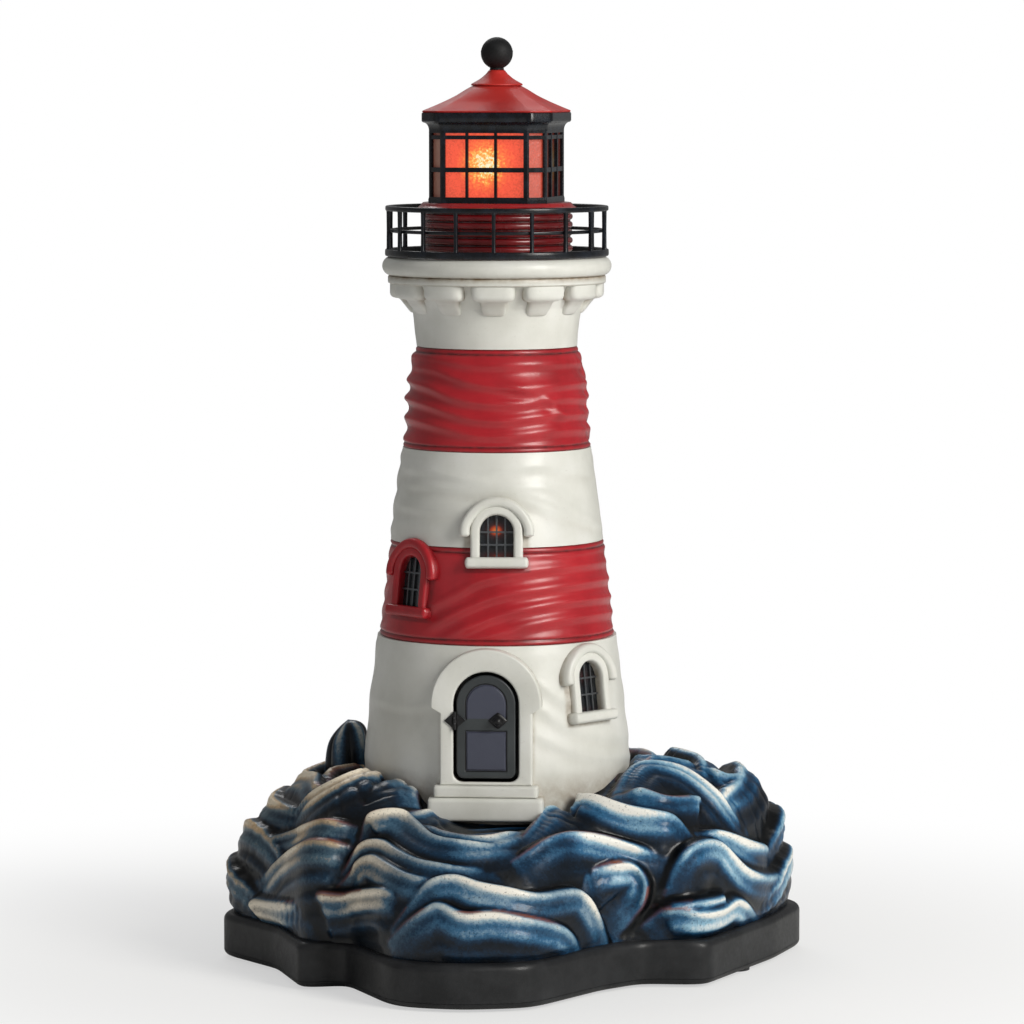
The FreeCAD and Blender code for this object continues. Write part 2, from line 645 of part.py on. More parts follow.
pieces["bottom_cover"] = make_bottom_cover()
pieces["battery_cover"] = make_battery_cover()
pieces["battery_box"] = make_battery_box()
pieces["battery_cells"] = Part.makeCompound([make_cell(y) for y in cell_rows])
pieces["battery_springs"] = Part.makeCompound([make_spring(y) for y in cell_rows])
pieces["battery_contacts"] = make_contacts()
pieces["switch_body"] = make_switch_body()
pieces["switch_slider"] = make_switch_slider()

# ---------------------------------------------------------------- tower shells
foot = shell_of(FOOT_PROFILE)
foot_floor = disc(FOOT_PROFILE[0][0] - WALL / 2, SEAT, SEAT + FLOOR)
foot = foot.fuse(foot_floor).cut(disc(TUBE_RADIUS + FIT, SEAT - 1, SEAT + FLOOR + 1))
shells = {
    "tower_foot": foot.removeSplitter(),
    "band_red_lower": shell_of(RED_LOWER_PROFILE),
    "band_white": shell_of(WHITE_PROFILE),
    "band_red_upper": shell_of(RED_UPPER_PROFILE),
}
tower_outline = FOOT_PROFILE + RED_LOWER_PROFILE + WHITE_PROFILE + RED_UPPER_PROFILE


def tower_radius(height):
    for (r0, z0), (r1, z1) in zip(tower_outline, tower_outline[1:]):
        if z0 <= height <= z1 and z1 > z0:
            return r0 + (r1 - r0) * (height - z0) / (z1 - z0)
    return tower_outline[-1][0]


# ---------------------------------------------------------------- windows
def seated(shape, turn, low, top):
    """Lean a window against the wall's slope, and turn it about the tower."""
    radius_low = tower_radius(low)
    radius_top = tower_radius(top)
    centre = (low + top) / 2
    lean = math.degrees(math.atan2(radius_low - radius_top, top - low))
    shape = shape.copy()
    shape.translate(V(0, 0, -centre))
    shape.rotate(ORIGIN, V(1, 0, 0), -lean)
    shape.translate(V(0, -(radius_low + radius_top) / 2, centre))
    return turned(shape, turn)


def window_pieces(turn, low, top):
    spring = top - OPENING_HALF
    plug_half = OPENING_HALF + PLUG_WALL
    hole = arch_prism(plug_half, low - PLUG_WALL, spring, -8, 12)
    plug = arch_prism(plug_half, low - PLUG_WALL, spring, -JAMB_PROUD, PLUG_BACK)
    jamb = arch_prism(OPENING_HALF + JAMB_WIDTH, low, spring, -JAMB_PROUD, FLANGE_BACK)
    hood_inner = OPENING_HALF + HOOD_STEP
    hood_outer = hood_inner + HOOD_WIDTH
    hood = Part.makeCylinder(hood_outer, HOOD_PROUD + FLANGE_BACK, V(0, -HOOD_PROUD, spring),
                             V(0, 1, 0))
    hood = hood.cut(Part.makeCylinder(hood_inner, 20, V(0, -10, spring), V(0, 1, 0)))
    hood = hood.common(block(-hood_outer, hood_outer, -10, 10, spring, spring + hood_outer))
    half = OPENING_HALF + WINDOW_SILL[0]
    height = WINDOW_SILL[1]
    sill = block(-half, half, -SILL_PROUD, FLANGE_BACK, low - height, low)
    opening = arch_prism(OPENING_HALF, low, spring, -8, 12)
    flange = jamb.fuse([hood, sill])
    frame = plug.fuse(flange).cut(opening)
    pane = arch_prism(OPENING_HALF, low, spring, PANE_SET_BACK, PANE_SET_BACK + PANE_THICK)
    front = PANE_SET_BACK - GLAZING_BAR
    upright = [block(x - GLAZING_BAR / 2, x + GLAZING_BAR / 2, front, PANE_SET_BACK, low, top)
               for x in (-OPENING_HALF / 2, 0, OPENING_HALF / 2)]
    across = [block(-OPENING_HALF, OPENING_HALF, front, PANE_SET_BACK,
                    z - GLAZING_BAR / 2, z + GLAZING_BAR / 2)
              for z in (low + (spring - low) / 2, spring)]
    bars = upright[0].fuse(upright[1:] + across)
    bars = bars.common(arch_prism(OPENING_HALF, low, spring, front, PANE_SET_BACK))
    return [seated(shape, turn, low, top) for shape in (hole, frame, pane, bars)]


panes = []
bar_sets = []
for side, (turn, low, top) in WINDOWS.items():
    hole, frame, pane, bars = window_pieces(turn, low, top)
    for name in ("tower_foot", "band_red_lower", "band_white"):
        shells[name] = shells[name].cut(hole)
    for name in ("tower_foot", "band_red_lower", "band_white"):
        frame = frame.cut(shells[name])
    pieces["window_frame_" + side] = max(frame.Solids, key=lambda solid: solid.Volume)
    panes.append(pane)
    bar_sets.append(bars)
pieces["window_panes"] = Part.makeCompound(panes)
pieces["window_bars"] = Part.makeCompound(bar_sets)

# ---------------------------------------------------------------- door
leaf_half = LEAF_WIDTH / 2
leaf_spring = LEAF_TOP - leaf_half
leaf_front = -(DOOR_FACE - LEAF_SET_BACK)
leaf_back = leaf_front + LEAF_THICK
niche_half = leaf_half + REVEAL
niche_low = LEAF_LOW - REVEAL
niche_end = leaf_back + NICHE_DEPTH
hinge_x = -leaf_half - REVEAL / 2
hinge_y = -DOOR_FACE - HINGE_PLATE_THICK


def make_door_frame(foot_shell):
    niche = arch_prism(niche_half, niche_low, leaf_spring, -DOOR_FACE - 1, niche_end)
    tub = arch_prism(niche_half + NICHE_WALL, niche_low, leaf_spring, -DOOR_FACE,
                     niche_end + NICHE_BACK)
    flange_end = -DOOR_FACE + FRAME_DEPTH
    jambs = block(-JAMB_HALF, JAMB_HALF, -DOOR_FACE, flange_end, SILL[3], ARCH_CENTRE)
    arch = Part.makeCylinder(ARCH_RADIUS, FRAME_DEPTH, V(0, -DOOR_FACE, ARCH_CENTRE), V(0, 1, 0))
    arch = arch.common(block(-ARCH_RADIUS, ARCH_RADIUS, -DOOR_FACE, 0, ARCH_CENTRE - IMPOST_DROP,
                             ARCH_CENTRE + ARCH_RADIUS))
    hole = arch_prism(niche_half + NICHE_WALL, niche_low, leaf_spring, -DOOR_FACE - 9,
                      niche_end + NICHE_BACK + 9)
    foot_cut = foot_shell.cut(turned(hole, DOOR_TURN))
    frame = turned(tub.fuse([jambs, arch]).cut(niche), DOOR_TURN).cut(foot_cut)
    return foot_cut, max(frame.Solids, key=lambda solid: solid.Volume)


def make_leaf():
    leaf = arch_prism(leaf_half, LEAF_LOW, leaf_spring, leaf_front, leaf_back, LEAF_CORNER)
    groove, deep = PANEL_LINE
    upper_half = leaf_half - PANEL_MARGIN
    foot_of_arch = LEAF_LOW + PANEL_UPPER
    lines = arch_prism(upper_half, foot_of_arch, leaf_spring, leaf_front, leaf_front + deep).cut(
        arch_prism(upper_half - groove, foot_of_arch - 1, leaf_spring, leaf_front - 1,
                   leaf_front + deep))
    low = LEAF_LOW + PANEL_LOWER[0]
    top = LEAF_LOW + PANEL_LOWER[1]
    lower = block(-upper_half, upper_half, leaf_front, leaf_front + deep, low, top).cut(
        block(-upper_half + groove, upper_half - groove, leaf_front - 1, leaf_front + deep,
              low + groove, top - groove))
    return leaf.cut(lines).cut(lower)


def knuckle(low, top):
    """A rolled barrel round the hinge pin's hole."""
    return disc(KNUCKLE, low, top, hinge_x, hinge_y)


def make_hinge():
    """A diamond plate split at the gap, one half on the surround and one on the leaf."""
    z0 = HINGE_HEIGHT
    half_width, half_height = HINGE_PLATE
    whole = diamond(half_width, half_height, hinge_x, z0, hinge_y, -DOOR_FACE)
    deep = diamond(half_width, half_height, hinge_x, z0, hinge_y, leaf_front)
    fixed_side = block(-JAMB_HALF, hinge_x - KNUCKLE / 2, -JAMB_HALF - DOOR_FACE, 0, z0 - 10, z0 + 10)
    door_side = block(hinge_x + KNUCKLE + KNUCKLE_GAP, JAMB_HALF, -JAMB_HALF - DOOR_FACE, 0,
                      z0 - 10, z0 + 10)
    hole = disc(HINGE_PIN, z0 - 10, z0 + 10, hinge_x, hinge_y)
    outer = [knuckle(z0 - KNUCKLE_HALF, z0 - KNUCKLE_MID), knuckle(z0 + KNUCKLE_MID, z0 + KNUCKLE_HALF)]
    slot = disc(KNUCKLE + KNUCKLE_GAP, z0 - KNUCKLE_MID, z0 + KNUCKLE_MID, hinge_x, hinge_y)
    fixed = whole.common(fixed_side).cut(slot).fuse(outer).cut(hole)
    low = z0 - KNUCKLE_MID + KNUCKLE_GAP
    top = z0 + KNUCKLE_MID - KNUCKLE_GAP
    centre = knuckle(low, top)
    arm = block(hinge_x, hinge_x + 3 * KNUCKLE_GAP + KNUCKLE, hinge_y, hinge_y + HINGE_PLATE_THICK,
                low, top)
    moving = deep.common(door_side).fuse([centre, arm])
    moving = moving.cut(disc(HINGE_PIN + 0.1, z0 - 10, z0 + 10, hinge_x, hinge_y))
    pin = disc(HINGE_PIN, z0 - KNUCKLE_HALF, z0 + KNUCKLE_HALF, hinge_x, hinge_y)
    return fixed.removeSplitter(), moving.removeSplitter(), pin


def make_knob_plate():
    half_width, half_height = KNOB_DIAMOND
    return diamond(half_width, half_height, KNOB_OFFSET, HINGE_HEIGHT, leaf_front - HINGE_PLATE_THICK,
                   leaf_front)


def make_knob():
    front = leaf_front - HINGE_PLATE_THICK
    neck = Part.makeCylinder(KNOB_NECK[0], KNOB_NECK[1], V(KNOB_OFFSET, front - KNOB_NECK[1], HINGE_HEIGHT),
                             V(0, 1, 0))
    ball = Part.makeSphere(KNOB_RADIUS, V(KNOB_OFFSET, front - 2 * KNOB_NECK[1], HINGE_HEIGHT))
    return neck.fuse(ball).removeSplitter()


shells["tower_foot"], pieces["door_frame"] = make_door_frame(shells["tower_foot"])
hinge_fixed, hinge_moving, hinge_rod = make_hinge()
pieces["door_leaf"] = turned(make_leaf(), DOOR_TURN)
pieces["hinge_leaf_frame"] = turned(hinge_fixed, DOOR_TURN)
pieces["hinge_leaf_door"] = turned(hinge_moving, DOOR_TURN)
pieces["hinge_pin"] = turned(hinge_rod, DOOR_TURN)
pieces["knob_plate"] = turned(make_knob_plate(), DOOR_TURN)
pieces["door_knob"] = turned(make_knob(), DOOR_TURN)


def ledge_stone(size):
    half, reach, low, top = size
    stone = block(-half, half, -reach, -DOOR_FACE + 12.5, low, top)
    edges = [edge for edge in stone.Edges if edge.BoundBox.YMax < -reach + 0.01]
    stone = turned(stone.makeFillet(STONE_ROUND, edges), DOOR_TURN)
    stone = stone.cut(shells["tower_foot"]).cut(pieces["door_frame"])
    return max(stone.Solids, key=lambda solid: solid.Volume)


pieces["door_sill"] = ledge_stone(SILL)
pieces["door_step"] = ledge_stone(STEP)
pieces.update(shells)


# ---------------------------------------------------------------- rock mound
def edge_distance(points, angle):
    """How far the plinth's edge is from the tower's axis in one direction."""
    best = 0.0
    ux = math.cos(angle)
    uy = math.sin(angle)
    for a, b in zip(points, points[1:] + points[:1]):
        dx = b.x - a.x
        dy = b.y - a.y
        cross = ux * dy - uy * dx
        if abs(cross) < 1e-9:
            continue
        along = (a.x * dy - a.y * dx) / cross
        share = (a.x * uy - a.y * ux) / cross
        if along > best and -1e-9 <= share <= 1 + 1e-9:
            best = along
    return best


def make_mound():
    """Sections shrink from the plinth's lobes to a round top, with a rounded shoulder."""
    edge = plan.OuterWire.discretize(200)
    top_radius = FOOT_RADIUS_WIDEST + FIT + MOUND_SHOULDER
    wires = []
    for i in range(MOUND_SECTIONS):
        share = i / (MOUND_SECTIONS - 1)
        spread = math.sqrt(1 - MOUND_SPREAD * share ** 2)
        points = []
        for k in range(MOUND_RAYS):
            angle = 2 * math.pi * k / MOUND_RAYS
            foot_radius = edge_distance(edge, angle) - MOUND_INSET
            radius = top_radius + (foot_radius - top_radius) * spread
            points.append(V(radius * math.cos(angle), radius * math.sin(angle),
                            PLINTH_TOP + MOUND_HEIGHT * share))
        curve = Part.BSplineCurve()
        curve.interpolate(points, PeriodicFlag=True)
        wires.append(Part.Wire(curve.toShape()))
    body = Part.makeLoft(wires, True, False)
    x, y, radius = TALL_ROCK
    body = body.cut(disc(radius, MOUND_TOP - TALL_ROCK_SOCKET, MOUND_TOP + 1, x, y))
    body = body.cut(disc(FOOT_RADIUS_WIDEST + FIT, SEAT, MOUND_TOP + 1))
    body = body.cut(disc(LEDGE_HOLE, SEAT - LEDGE - 1, SEAT + 1))
    body = body.cut(disc(MOUND_HOLLOW_RADIUS, PLINTH_TOP - 1, SEAT - LEDGE))
    for x, y in mound_screw_points:
        body = body.cut(disc(BIG_SHANK, PLINTH_TOP - 1, PLINTH_TOP + MOUND_SCREW_BITE, x, y))
    body = body.cut(pieces["door_step"]).cut(pieces["door_sill"])
    return max(body.Solids, key=lambda solid: solid.Volume)


def make_tall_rock():
    """A round-topped stone, cast apart and let into a socket in the mound."""
    x, y, radius = TALL_ROCK
    shoulder = MOUND_TOP + TALL_ROCK_RISE - radius / 2
    rock = disc(radius, MOUND_TOP - TALL_ROCK_SOCKET, shoulder, x, y)
    return rock.fuse(Part.makeCone(radius, radius / 2, radius / 2, V(x, y, shoulder))).removeSplitter()


pieces["rock_mound"] = make_mound()
pieces["tall_rock"] = make_tall_rock()

# ---------------------------------------------------------------- tie and lead
tie_plate_top = SEAT - LEDGE
low_nut = tie_plate_top - PLATE - NUT_HEIGHT
tube_low = low_nut - TUBE_TAIL
lamp_plate_top = LAMP_PLATE_LOW + PLATE
holder_low = lamp_plate_top + NUT_HEIGHT
tube_top = holder_low + TUBE_HEAD
holder_top = holder_low + HOLDER_HEIGHT
holder_floor = (tube_top + HOLDER_FLOOR[0], tube_top + HOLDER_FLOOR[1])

pieces["tie_tube"] = ring(TUBE_RADIUS - TUBE_WALL, TUBE_RADIUS, tube_low, tube_top)
pieces["tie_plate"] = ring(TUBE_RADIUS, LEDGE_HOLE + TIE_PLATE_LAP, tie_plate_top - PLATE,
                           tie_plate_top)
pieces["tie_nuts"] = Part.makeCompound([hex_nut(low_nut, NUT_HEIGHT),
                                        hex_nut(lamp_plate_top, NUT_HEIGHT)])

switch_top = cover_top + SWITCH_BODY[2]
lead_level = tray_top + BOX_WALL + 3 * LEAD_RADIUS + 2
lead_route = [
    V(switch_x, middle.y, switch_top), V(switch_x, middle.y, switch_top + 11),
    V(switch_x - 15, middle.y, lead_level), V(13, 0.4 * middle.y, lead_level),
    V(0, 0, tube_low - 4), V(0, 0, holder_floor[0]),
]
pieces["lamp_lead"] = held_lead(lead_route, LEAD_RADIUS)

# ---------------------------------------------------------------- neck, corbels and gallery
pieces["tower_neck"] = shell_of(NECK_PROFILE)


def make_corbel(turn):
    """A block under the deck on a narrower stem, both wedges about the tower's axis."""
    inner = NECK_PROFILE[0][0]
    wide, high = CORBEL_CHAMFER
    cap = revolved([(inner, CORBEL_LOW), (CORBEL_OUT - wide, CORBEL_LOW), (CORBEL_OUT, CORBEL_LOW + high),
                    (CORBEL_OUT, DECK_LOW), (inner, DECK_LOW)], CORBEL_ANGLE)
    cap = turned(cap, -CORBEL_ANGLE / 2)
    front = [(inner + out, STEM_LOW + rise) for out, rise in STEM_RISE]
    stem = revolved([(inner, STEM_LOW)] + front + [(inner, CORBEL_LOW)], STEM_ANGLE)
    stem = turned(stem, -STEM_ANGLE / 2)
    corbel = cap.fuse(stem).cut(neck_solid).removeSplitter()
    return turned(max(corbel.Solids, key=lambda solid: solid.Volume), turn - 90)


neck_solid = revolved(NECK_PROFILE + [(0, NECK_PROFILE[-1][1]), (0, NECK_PROFILE[0][1])])
pieces["corbels"] = Part.makeCompound(
    [make_corbel(CORBEL_TURN + 360 * i / CORBELS) for i in range(CORBELS)])


def make_deck():
    roll = (DECK_THICK - FASCIA_HEIGHT) / 2
    centre = DECK_TOP - roll
    edge = DECK_RADIUS - roll
    arc = [(edge + roll * math.cos(math.radians(a)), centre + roll * math.sin(math.radians(a)))
           for a in range(-75, 91, 15)]
    outline = [(LEDGE_BORE, DECK_LOW), (FASCIA_RADIUS, DECK_LOW),
               (FASCIA_RADIUS, DECK_LOW + FASCIA_HEIGHT)]
    outline += arc
    outline += [(LAMP_PLATE_RADIUS + FIT, DECK_TOP), (LAMP_PLATE_RADIUS + FIT, LAMP_PLATE_LOW),
                (LEDGE_BORE, LAMP_PLATE_LOW)]
    return revolved(outline)


pieces["gallery_deck"] = make_deck()
base_ring_top = DECK_TOP + BASE_RING[1]
top_rail_low = RAIL_TOP - TOP_RAIL[1]
pieces["railing_base_ring"] = ring(RAIL_RADIUS - BASE_RING[0] / 2, RAIL_RADIUS + BASE_RING[0] / 2,
                                   DECK_TOP, base_ring_top)
pieces["railing_top_rail"] = ring(RAIL_RADIUS - TOP_RAIL[0] / 2, RAIL_RADIUS + TOP_RAIL[0] / 2,
                                  top_rail_low, RAIL_TOP)
pieces["railing_mid_rail"] = Part.makeTorus(RAIL_RADIUS - POST_RADIUS - MID_RAIL, MID_RAIL,
                                            V(0, 0, MID_RAIL_HEIGHT))
post = disc(POST_RADIUS, base_ring_top, top_rail_low, 0, -RAIL_RADIUS)
pieces["railing_posts"] = Part.makeCompound(
    [turned(post, RAIL_TURN + 360 * i / RAIL_POSTS) for i in range(RAIL_POSTS)])


# ---------------------------------------------------------------- lantern
def corner_angles():
    """Directions of the eight corners: a wide face ahead, then narrow and wide in turn."""
    angles = []
    for i in range(4):
        face = -90 + LANTERN_TURN + 90 * i
        angles += [face - WIDE_HALF, face + WIDE_HALF]
    return angles


def octagon(radius):
    return [V(radius * math.cos(math.radians(a)), radius * math.sin(math.radians(a)), 0)
            for a in corner_angles()]


def octagon_wire(radius, height):
    points = [V(p.x, p.y, height) for p in octagon(radius)]
    return Part.makePolygon(points + points[:1])


def octagon_prism(radius, low, top):
    return Part.Face(octagon_wire(radius, low)).extrude(V(0, 0, top - low))


def octagon_loft(levels):
    """A solid through eight-sided sections, each a (radius, height)."""
    solid = None
    for (r0, z0), (r1, z1) in zip(levels, levels[1:]):
        step = Part.makeLoft([octagon_wire(r0, z0), octagon_wire(r1, z1)], True, True)
        solid = step if solid is None else solid.fuse(step)
    return solid.removeSplitter()


def make_drum():
    pitch = (DRUM_TOP - DECK_TOP) / (RIBS + 1)
    outline = [(DRUM_RADIUS - DRUM_WALL, DECK_TOP), (DRUM_RADIUS, DECK_TOP)]
    for i in range(RIBS):
        centre = DECK_TOP + pitch * (i + 1)
        for a in range(-75, 76, 30):
            outline.append((DRUM_RADIUS + RIB_SHARE * pitch * math.cos(math.radians(a)),
                            centre + RIB_SHARE * pitch * math.sin(math.radians(a))))
    outline += [(DRUM_RADIUS, DRUM_TOP), (DRUM_RADIUS - DRUM_WALL, DRUM_TOP)]
    return revolved(outline)


def make_posts():
    """Corner posts, and two mullions on each wide face, all within the frame's thickness."""
    frame = octagon_prism(LANTERN_RADIUS, SILL_TOP, HEAD_LOW).cut(
        octagon_prism(FRAME_INNER, SILL_TOP - 1, HEAD_LOW + 1))
    posts = []
    corners = octagon((LANTERN_RADIUS + FRAME_INNER) / 2)
    for i, corner in enumerate(corners):
        posts.append(frame.common(disc(CORNER_POST, SILL_TOP, HEAD_LOW, corner.x, corner.y)))
        if i % 2 == 0:
            far = corners[i + 1]
            face = math.degrees(math.atan2((corner.y + far.y) / 2, (corner.x + far.x) / 2))
            for share in MULLION_SHARES:
                spot = corner + (far - corner) * share
                strip = block(-3, 3, -MULLION / 2, MULLION / 2, SILL_TOP, HEAD_LOW)
                strip.rotate(ORIGIN, AXIS, face)
                strip.translate(V(spot.x, spot.y, 0))
                posts.append(frame.common(strip))
    return Part.makeCompound([post.Solids[0] for post in posts])


def make_bars(posts):
    segments = []
    for low, top in (BAR_LOW, BAR_HIGH):
        level = octagon_prism(LANTERN_RADIUS - BAR_INSET, low, top).cut(
            octagon_prism(FRAME_INNER, low - 1, top + 1))
        segments += level.cut(posts).Solids
    return Part.makeCompound(segments)


def make_panes():
    outer = octagon(FRAME_INNER)
    inner = octagon(PANE_INNER)
    sheets = []
    for i in range(8):
        k = (i + 1) % 8
        corners = [V(p.x, p.y, SILL_TOP) for p in (outer[i], outer[k], inner[k], inner[i])]
        face = Part.Face(Part.makePolygon(corners + corners[:1]))
        sheets.append(face.extrude(V(0, 0, HEAD_LOW - SILL_TOP)))
    return Part.makeCompound(sheets)


pieces["lantern_drum"] = make_drum()
flare_front = [(LANTERN_RADIUS + out, DRUM_TOP + rise) for out, rise in FLARE_STEPS]
pieces["lantern_flare"] = revolved([(HEAD_BORE, DRUM_TOP)] + flare_front + [(HEAD_BORE, FLARE_TOP)])
sill_levels = [(LANTERN_RADIUS + out, FLARE_TOP + rise) for out, rise in SILL_STEPS]
pieces["lantern_sill"] = octagon_loft(sill_levels).cut(disc(HEAD_BORE, FLARE_TOP - 1, SILL_TOP + 1))
pieces["lantern_posts"] = make_posts()
pieces["lantern_bars"] = make_bars(pieces["lantern_posts"])
pieces["lantern_panes"] = make_panes()
pieces["lantern_head"] = octagon_prism(LANTERN_RADIUS, HEAD_LOW, HEAD_TOP).cut(
    disc(HEAD_BORE, HEAD_LOW - 1, HEAD_TOP + 1))

# ---------------------------------------------------------------- lamp
holder_radius = TUBE_RADIUS + HOLDER_WALL - 0.1
glow_reach = (holder_radius + LAMP_PLATE_RADIUS) / 2 - 0.5
glow_holes = [turned(disc(GLOW_HOLE, LAMP_PLATE_LOW - 1, lamp_plate_top + 1, glow_reach, 0),
                     360 * i / GLOW_HOLES) for i in range(GLOW_HOLES)]
pieces["lamp_plate"] = ring(TUBE_RADIUS, LAMP_PLATE_RADIUS, LAMP_PLATE_LOW, lamp_plate_top).cut(
    Part.makeCompound(glow_holes))
socket = CAP_RADIUS + CAP_PLAY
lip = TUBE_RADIUS - HOLDER_SEAT
pieces["lamp_holder"] = revolved([
    (TUBE_RADIUS, holder_low), (holder_radius, holder_low), (holder_radius, holder_top),
    (socket, holder_top), (socket, holder_floor[1]), (0, holder_floor[1]),
    (0, holder_floor[0]), (lip, holder_floor[0]), (lip, tube_top), (TUBE_RADIUS, tube_top)])
cap_low = holder_floor[1]
cap_top = cap_low + CAP_LENGTH
tip, tip_top, full = CAP_TIP_CONTACT
cap_floor = cap_low + CAP_FLOOR
pieces["bulb_cap"] = revolved([
    (0, cap_low), (tip, cap_low), (tip, cap_low + tip_top), (CAP_RADIUS, cap_low + full),
    (CAP_RADIUS, cap_top), (CAP_RADIUS - CAP_WALL, cap_top), (CAP_RADIUS - CAP_WALL, cap_floor),
    (0, cap_floor)])


def make_glass():
    """A round glass bulb whose neck stands in the cap."""
    centre = FILAMENT_HEIGHT - 1
    neck = CAP_RADIUS - GLASS_NECK_INSET
    neck_low = cap_top - CAP_FLOOR
    start = math.degrees(math.asin(neck / GLASS_RADIUS))
    outer = [(neck, neck_low)]
    inner = []
    for i in range(GLASS_STEPS + 1):
        a = math.radians(-90 + start + (180 - start) * i / GLASS_STEPS)
        outer.append((GLASS_RADIUS * math.cos(a), centre + GLASS_RADIUS * math.sin(a)))
        thin = GLASS_RADIUS - GLASS_WALL
        inner.append((thin * math.cos(a), centre + thin * math.sin(a)))
    outer[-1] = (0, outer[-1][1])
    inner[-1] = (0, inner[-1][1])
    inner[0] = (neck - GLASS_WALL, inner[0][1])
    return revolved(outer + list(reversed(inner)) + [(neck - GLASS_WALL, neck_low)])


def make_filament():
    """Two support wires that stand in the cap, bridged by the glowing wire."""
    ends = (-FILAMENT_HALF, FILAMENT_HALF)
    posts = [disc(WIRE_RADIUS, cap_floor, FILAMENT_HEIGHT, x, 0) for x in ends]
    bridge = along_x(WIRE_RADIUS, -FILAMENT_HALF, FILAMENT_HALF, 0, FILAMENT_HEIGHT)
    balls = [Part.makeSphere(WIRE_RADIUS, V(x, 0, FILAMENT_HEIGHT)) for x in ends]
    return posts[0].fuse([posts[1], bridge] + balls)


pieces["bulb_glass"] = make_glass()
pieces["bulb_filament"] = make_filament()

# ---------------------------------------------------------------- roof
stud = disc(STUD_RADIUS, HEAD_TOP, BALL_HEIGHT)
cornice = octagon_loft([(LANTERN_RADIUS + out, HEAD_TOP + rise) for out, rise in COVE_STEPS])
pieces["lantern_cornice"] = cornice.fuse(
    disc(SPIGOT_RADIUS, HEAD_TOP - SPIGOT_DEPTH, HEAD_TOP)).cut(stud)
roof_edge = EAVE_RADIUS - ROOF_LAP
pieces["roof_shell"] = octagon_loft([
    (roof_edge, EAVE), (roof_edge, EAVE + ROOF_EDGE),
    (EAVE_RADIUS - ROOF_MIDDLE[0], EAVE + ROOF_MIDDLE[1]), (CAP_EDGE - CAP_LAP, CAP_LOW)]).cut(stud)
cap_front = [(CAP_EDGE - inward, CAP_LOW + rise) for inward, rise in CAP_STEPS]
pieces["roof_cap"] = revolved([(0, CAP_LOW)] + cap_front + [(0, CAP_TOP)]).cut(stud)
ball = Part.makeSphere(BALL_RADIUS, V(0, 0, BALL_HEIGHT)).fuse(
    disc(NECK_RADIUS, CAP_TOP, BALL_HEIGHT - BALL_RADIUS / 2))
pieces["finial_ball"] = ball.cut(stud)
pieces["finial_stud"] = stud

# ---------------------------------------------------------------- export
os.makedirs("parts", exist_ok=True)
shift = V(-middle.x, -middle.y, 0)
for name, shape in pieces.items():
    moved = shape.copy()
    moved.translate(shift)
    moved.exportStep("parts/" + name + ".step")
    if not moved.isValid():
        print("not valid:", name)
hinge = V(hinge_x, hinge_y, HINGE_HEIGHT)
hinge = FreeCAD.Rotation(AXIS, DOOR_TURN).multVec(hinge) + shift
print("pieces", len(pieces))
print("tower axis at", round(shift.x, 3), round(shift.y, 3))
print("door hinge at", round(hinge.x, 3), round(hinge.y, 3), round(hinge.z, 3))
print("battery cover hinge at y", round(pin_y + shift.y, 3), "z", round(pin_height, 3))
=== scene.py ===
import math

import bmesh
import bpy
import numpy as np
from mathutils import Matrix, Vector
from mathutils.bvhtree import BVHTree
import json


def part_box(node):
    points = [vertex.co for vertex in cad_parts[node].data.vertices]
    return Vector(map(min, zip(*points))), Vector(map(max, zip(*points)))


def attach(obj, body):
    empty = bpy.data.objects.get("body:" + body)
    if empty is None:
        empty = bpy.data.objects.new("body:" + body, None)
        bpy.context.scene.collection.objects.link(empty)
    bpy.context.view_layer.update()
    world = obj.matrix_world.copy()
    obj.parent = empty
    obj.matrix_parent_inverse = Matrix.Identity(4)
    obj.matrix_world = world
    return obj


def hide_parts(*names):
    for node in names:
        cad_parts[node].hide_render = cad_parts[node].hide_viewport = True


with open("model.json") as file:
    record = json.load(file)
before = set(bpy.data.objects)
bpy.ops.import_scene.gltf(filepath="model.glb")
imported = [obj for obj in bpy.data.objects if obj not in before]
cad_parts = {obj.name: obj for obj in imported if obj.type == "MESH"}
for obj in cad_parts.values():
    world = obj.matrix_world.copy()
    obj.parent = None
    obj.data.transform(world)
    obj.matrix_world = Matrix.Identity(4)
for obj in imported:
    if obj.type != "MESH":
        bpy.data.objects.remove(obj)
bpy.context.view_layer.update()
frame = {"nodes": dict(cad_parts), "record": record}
nodes = frame["nodes"]
MM = 0.001

# %% [markdown]
# ## Reading sizes from the measured model
# Heights come from the boxes of its pieces, and radii from rays cast at them, so the looks stay
# seated when the model changes. Everything below is worked out in millimetres and becomes metres
# only when a mesh is made.
#
# %% Levels and radii
drum_low, drum_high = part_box("lantern_drum")
AXIS_X = (drum_low.x + drum_high.x) / 2 / MM
AXIS_Y = (drum_low.y + drum_high.y) / 2 / MM


def low(node):
    """The bottom of a piece, in millimetres."""
    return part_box(node)[0].z / MM


def top(node):
    """The top of a piece, in millimetres."""
    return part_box(node)[1].z / MM


def tree_of(node):
    """A piece's triangles in millimetres, sorted so that rays find them."""
    mesh = nodes[node].data
    return BVHTree.FromPolygons([v.co / MM for v in mesh.vertices], [p.vertices for p in mesh.polygons])


def cad_radius(tree, height, angle):
    """How far the outside is from the tower's axis: the first hit of a ray aimed at the axis."""
    outward = Vector((math.cos(angle), math.sin(angle), 0))
    start = Vector((AXIS_X, AXIS_Y, height)) + 300 * outward
    hit = tree.ray_cast(start, -outward)[0]
    return 0.0 if hit is None else math.hypot(hit.x - AXIS_X, hit.y - AXIS_Y)


print("tower axis", round(AXIS_X, 2), round(AXIS_Y, 2))

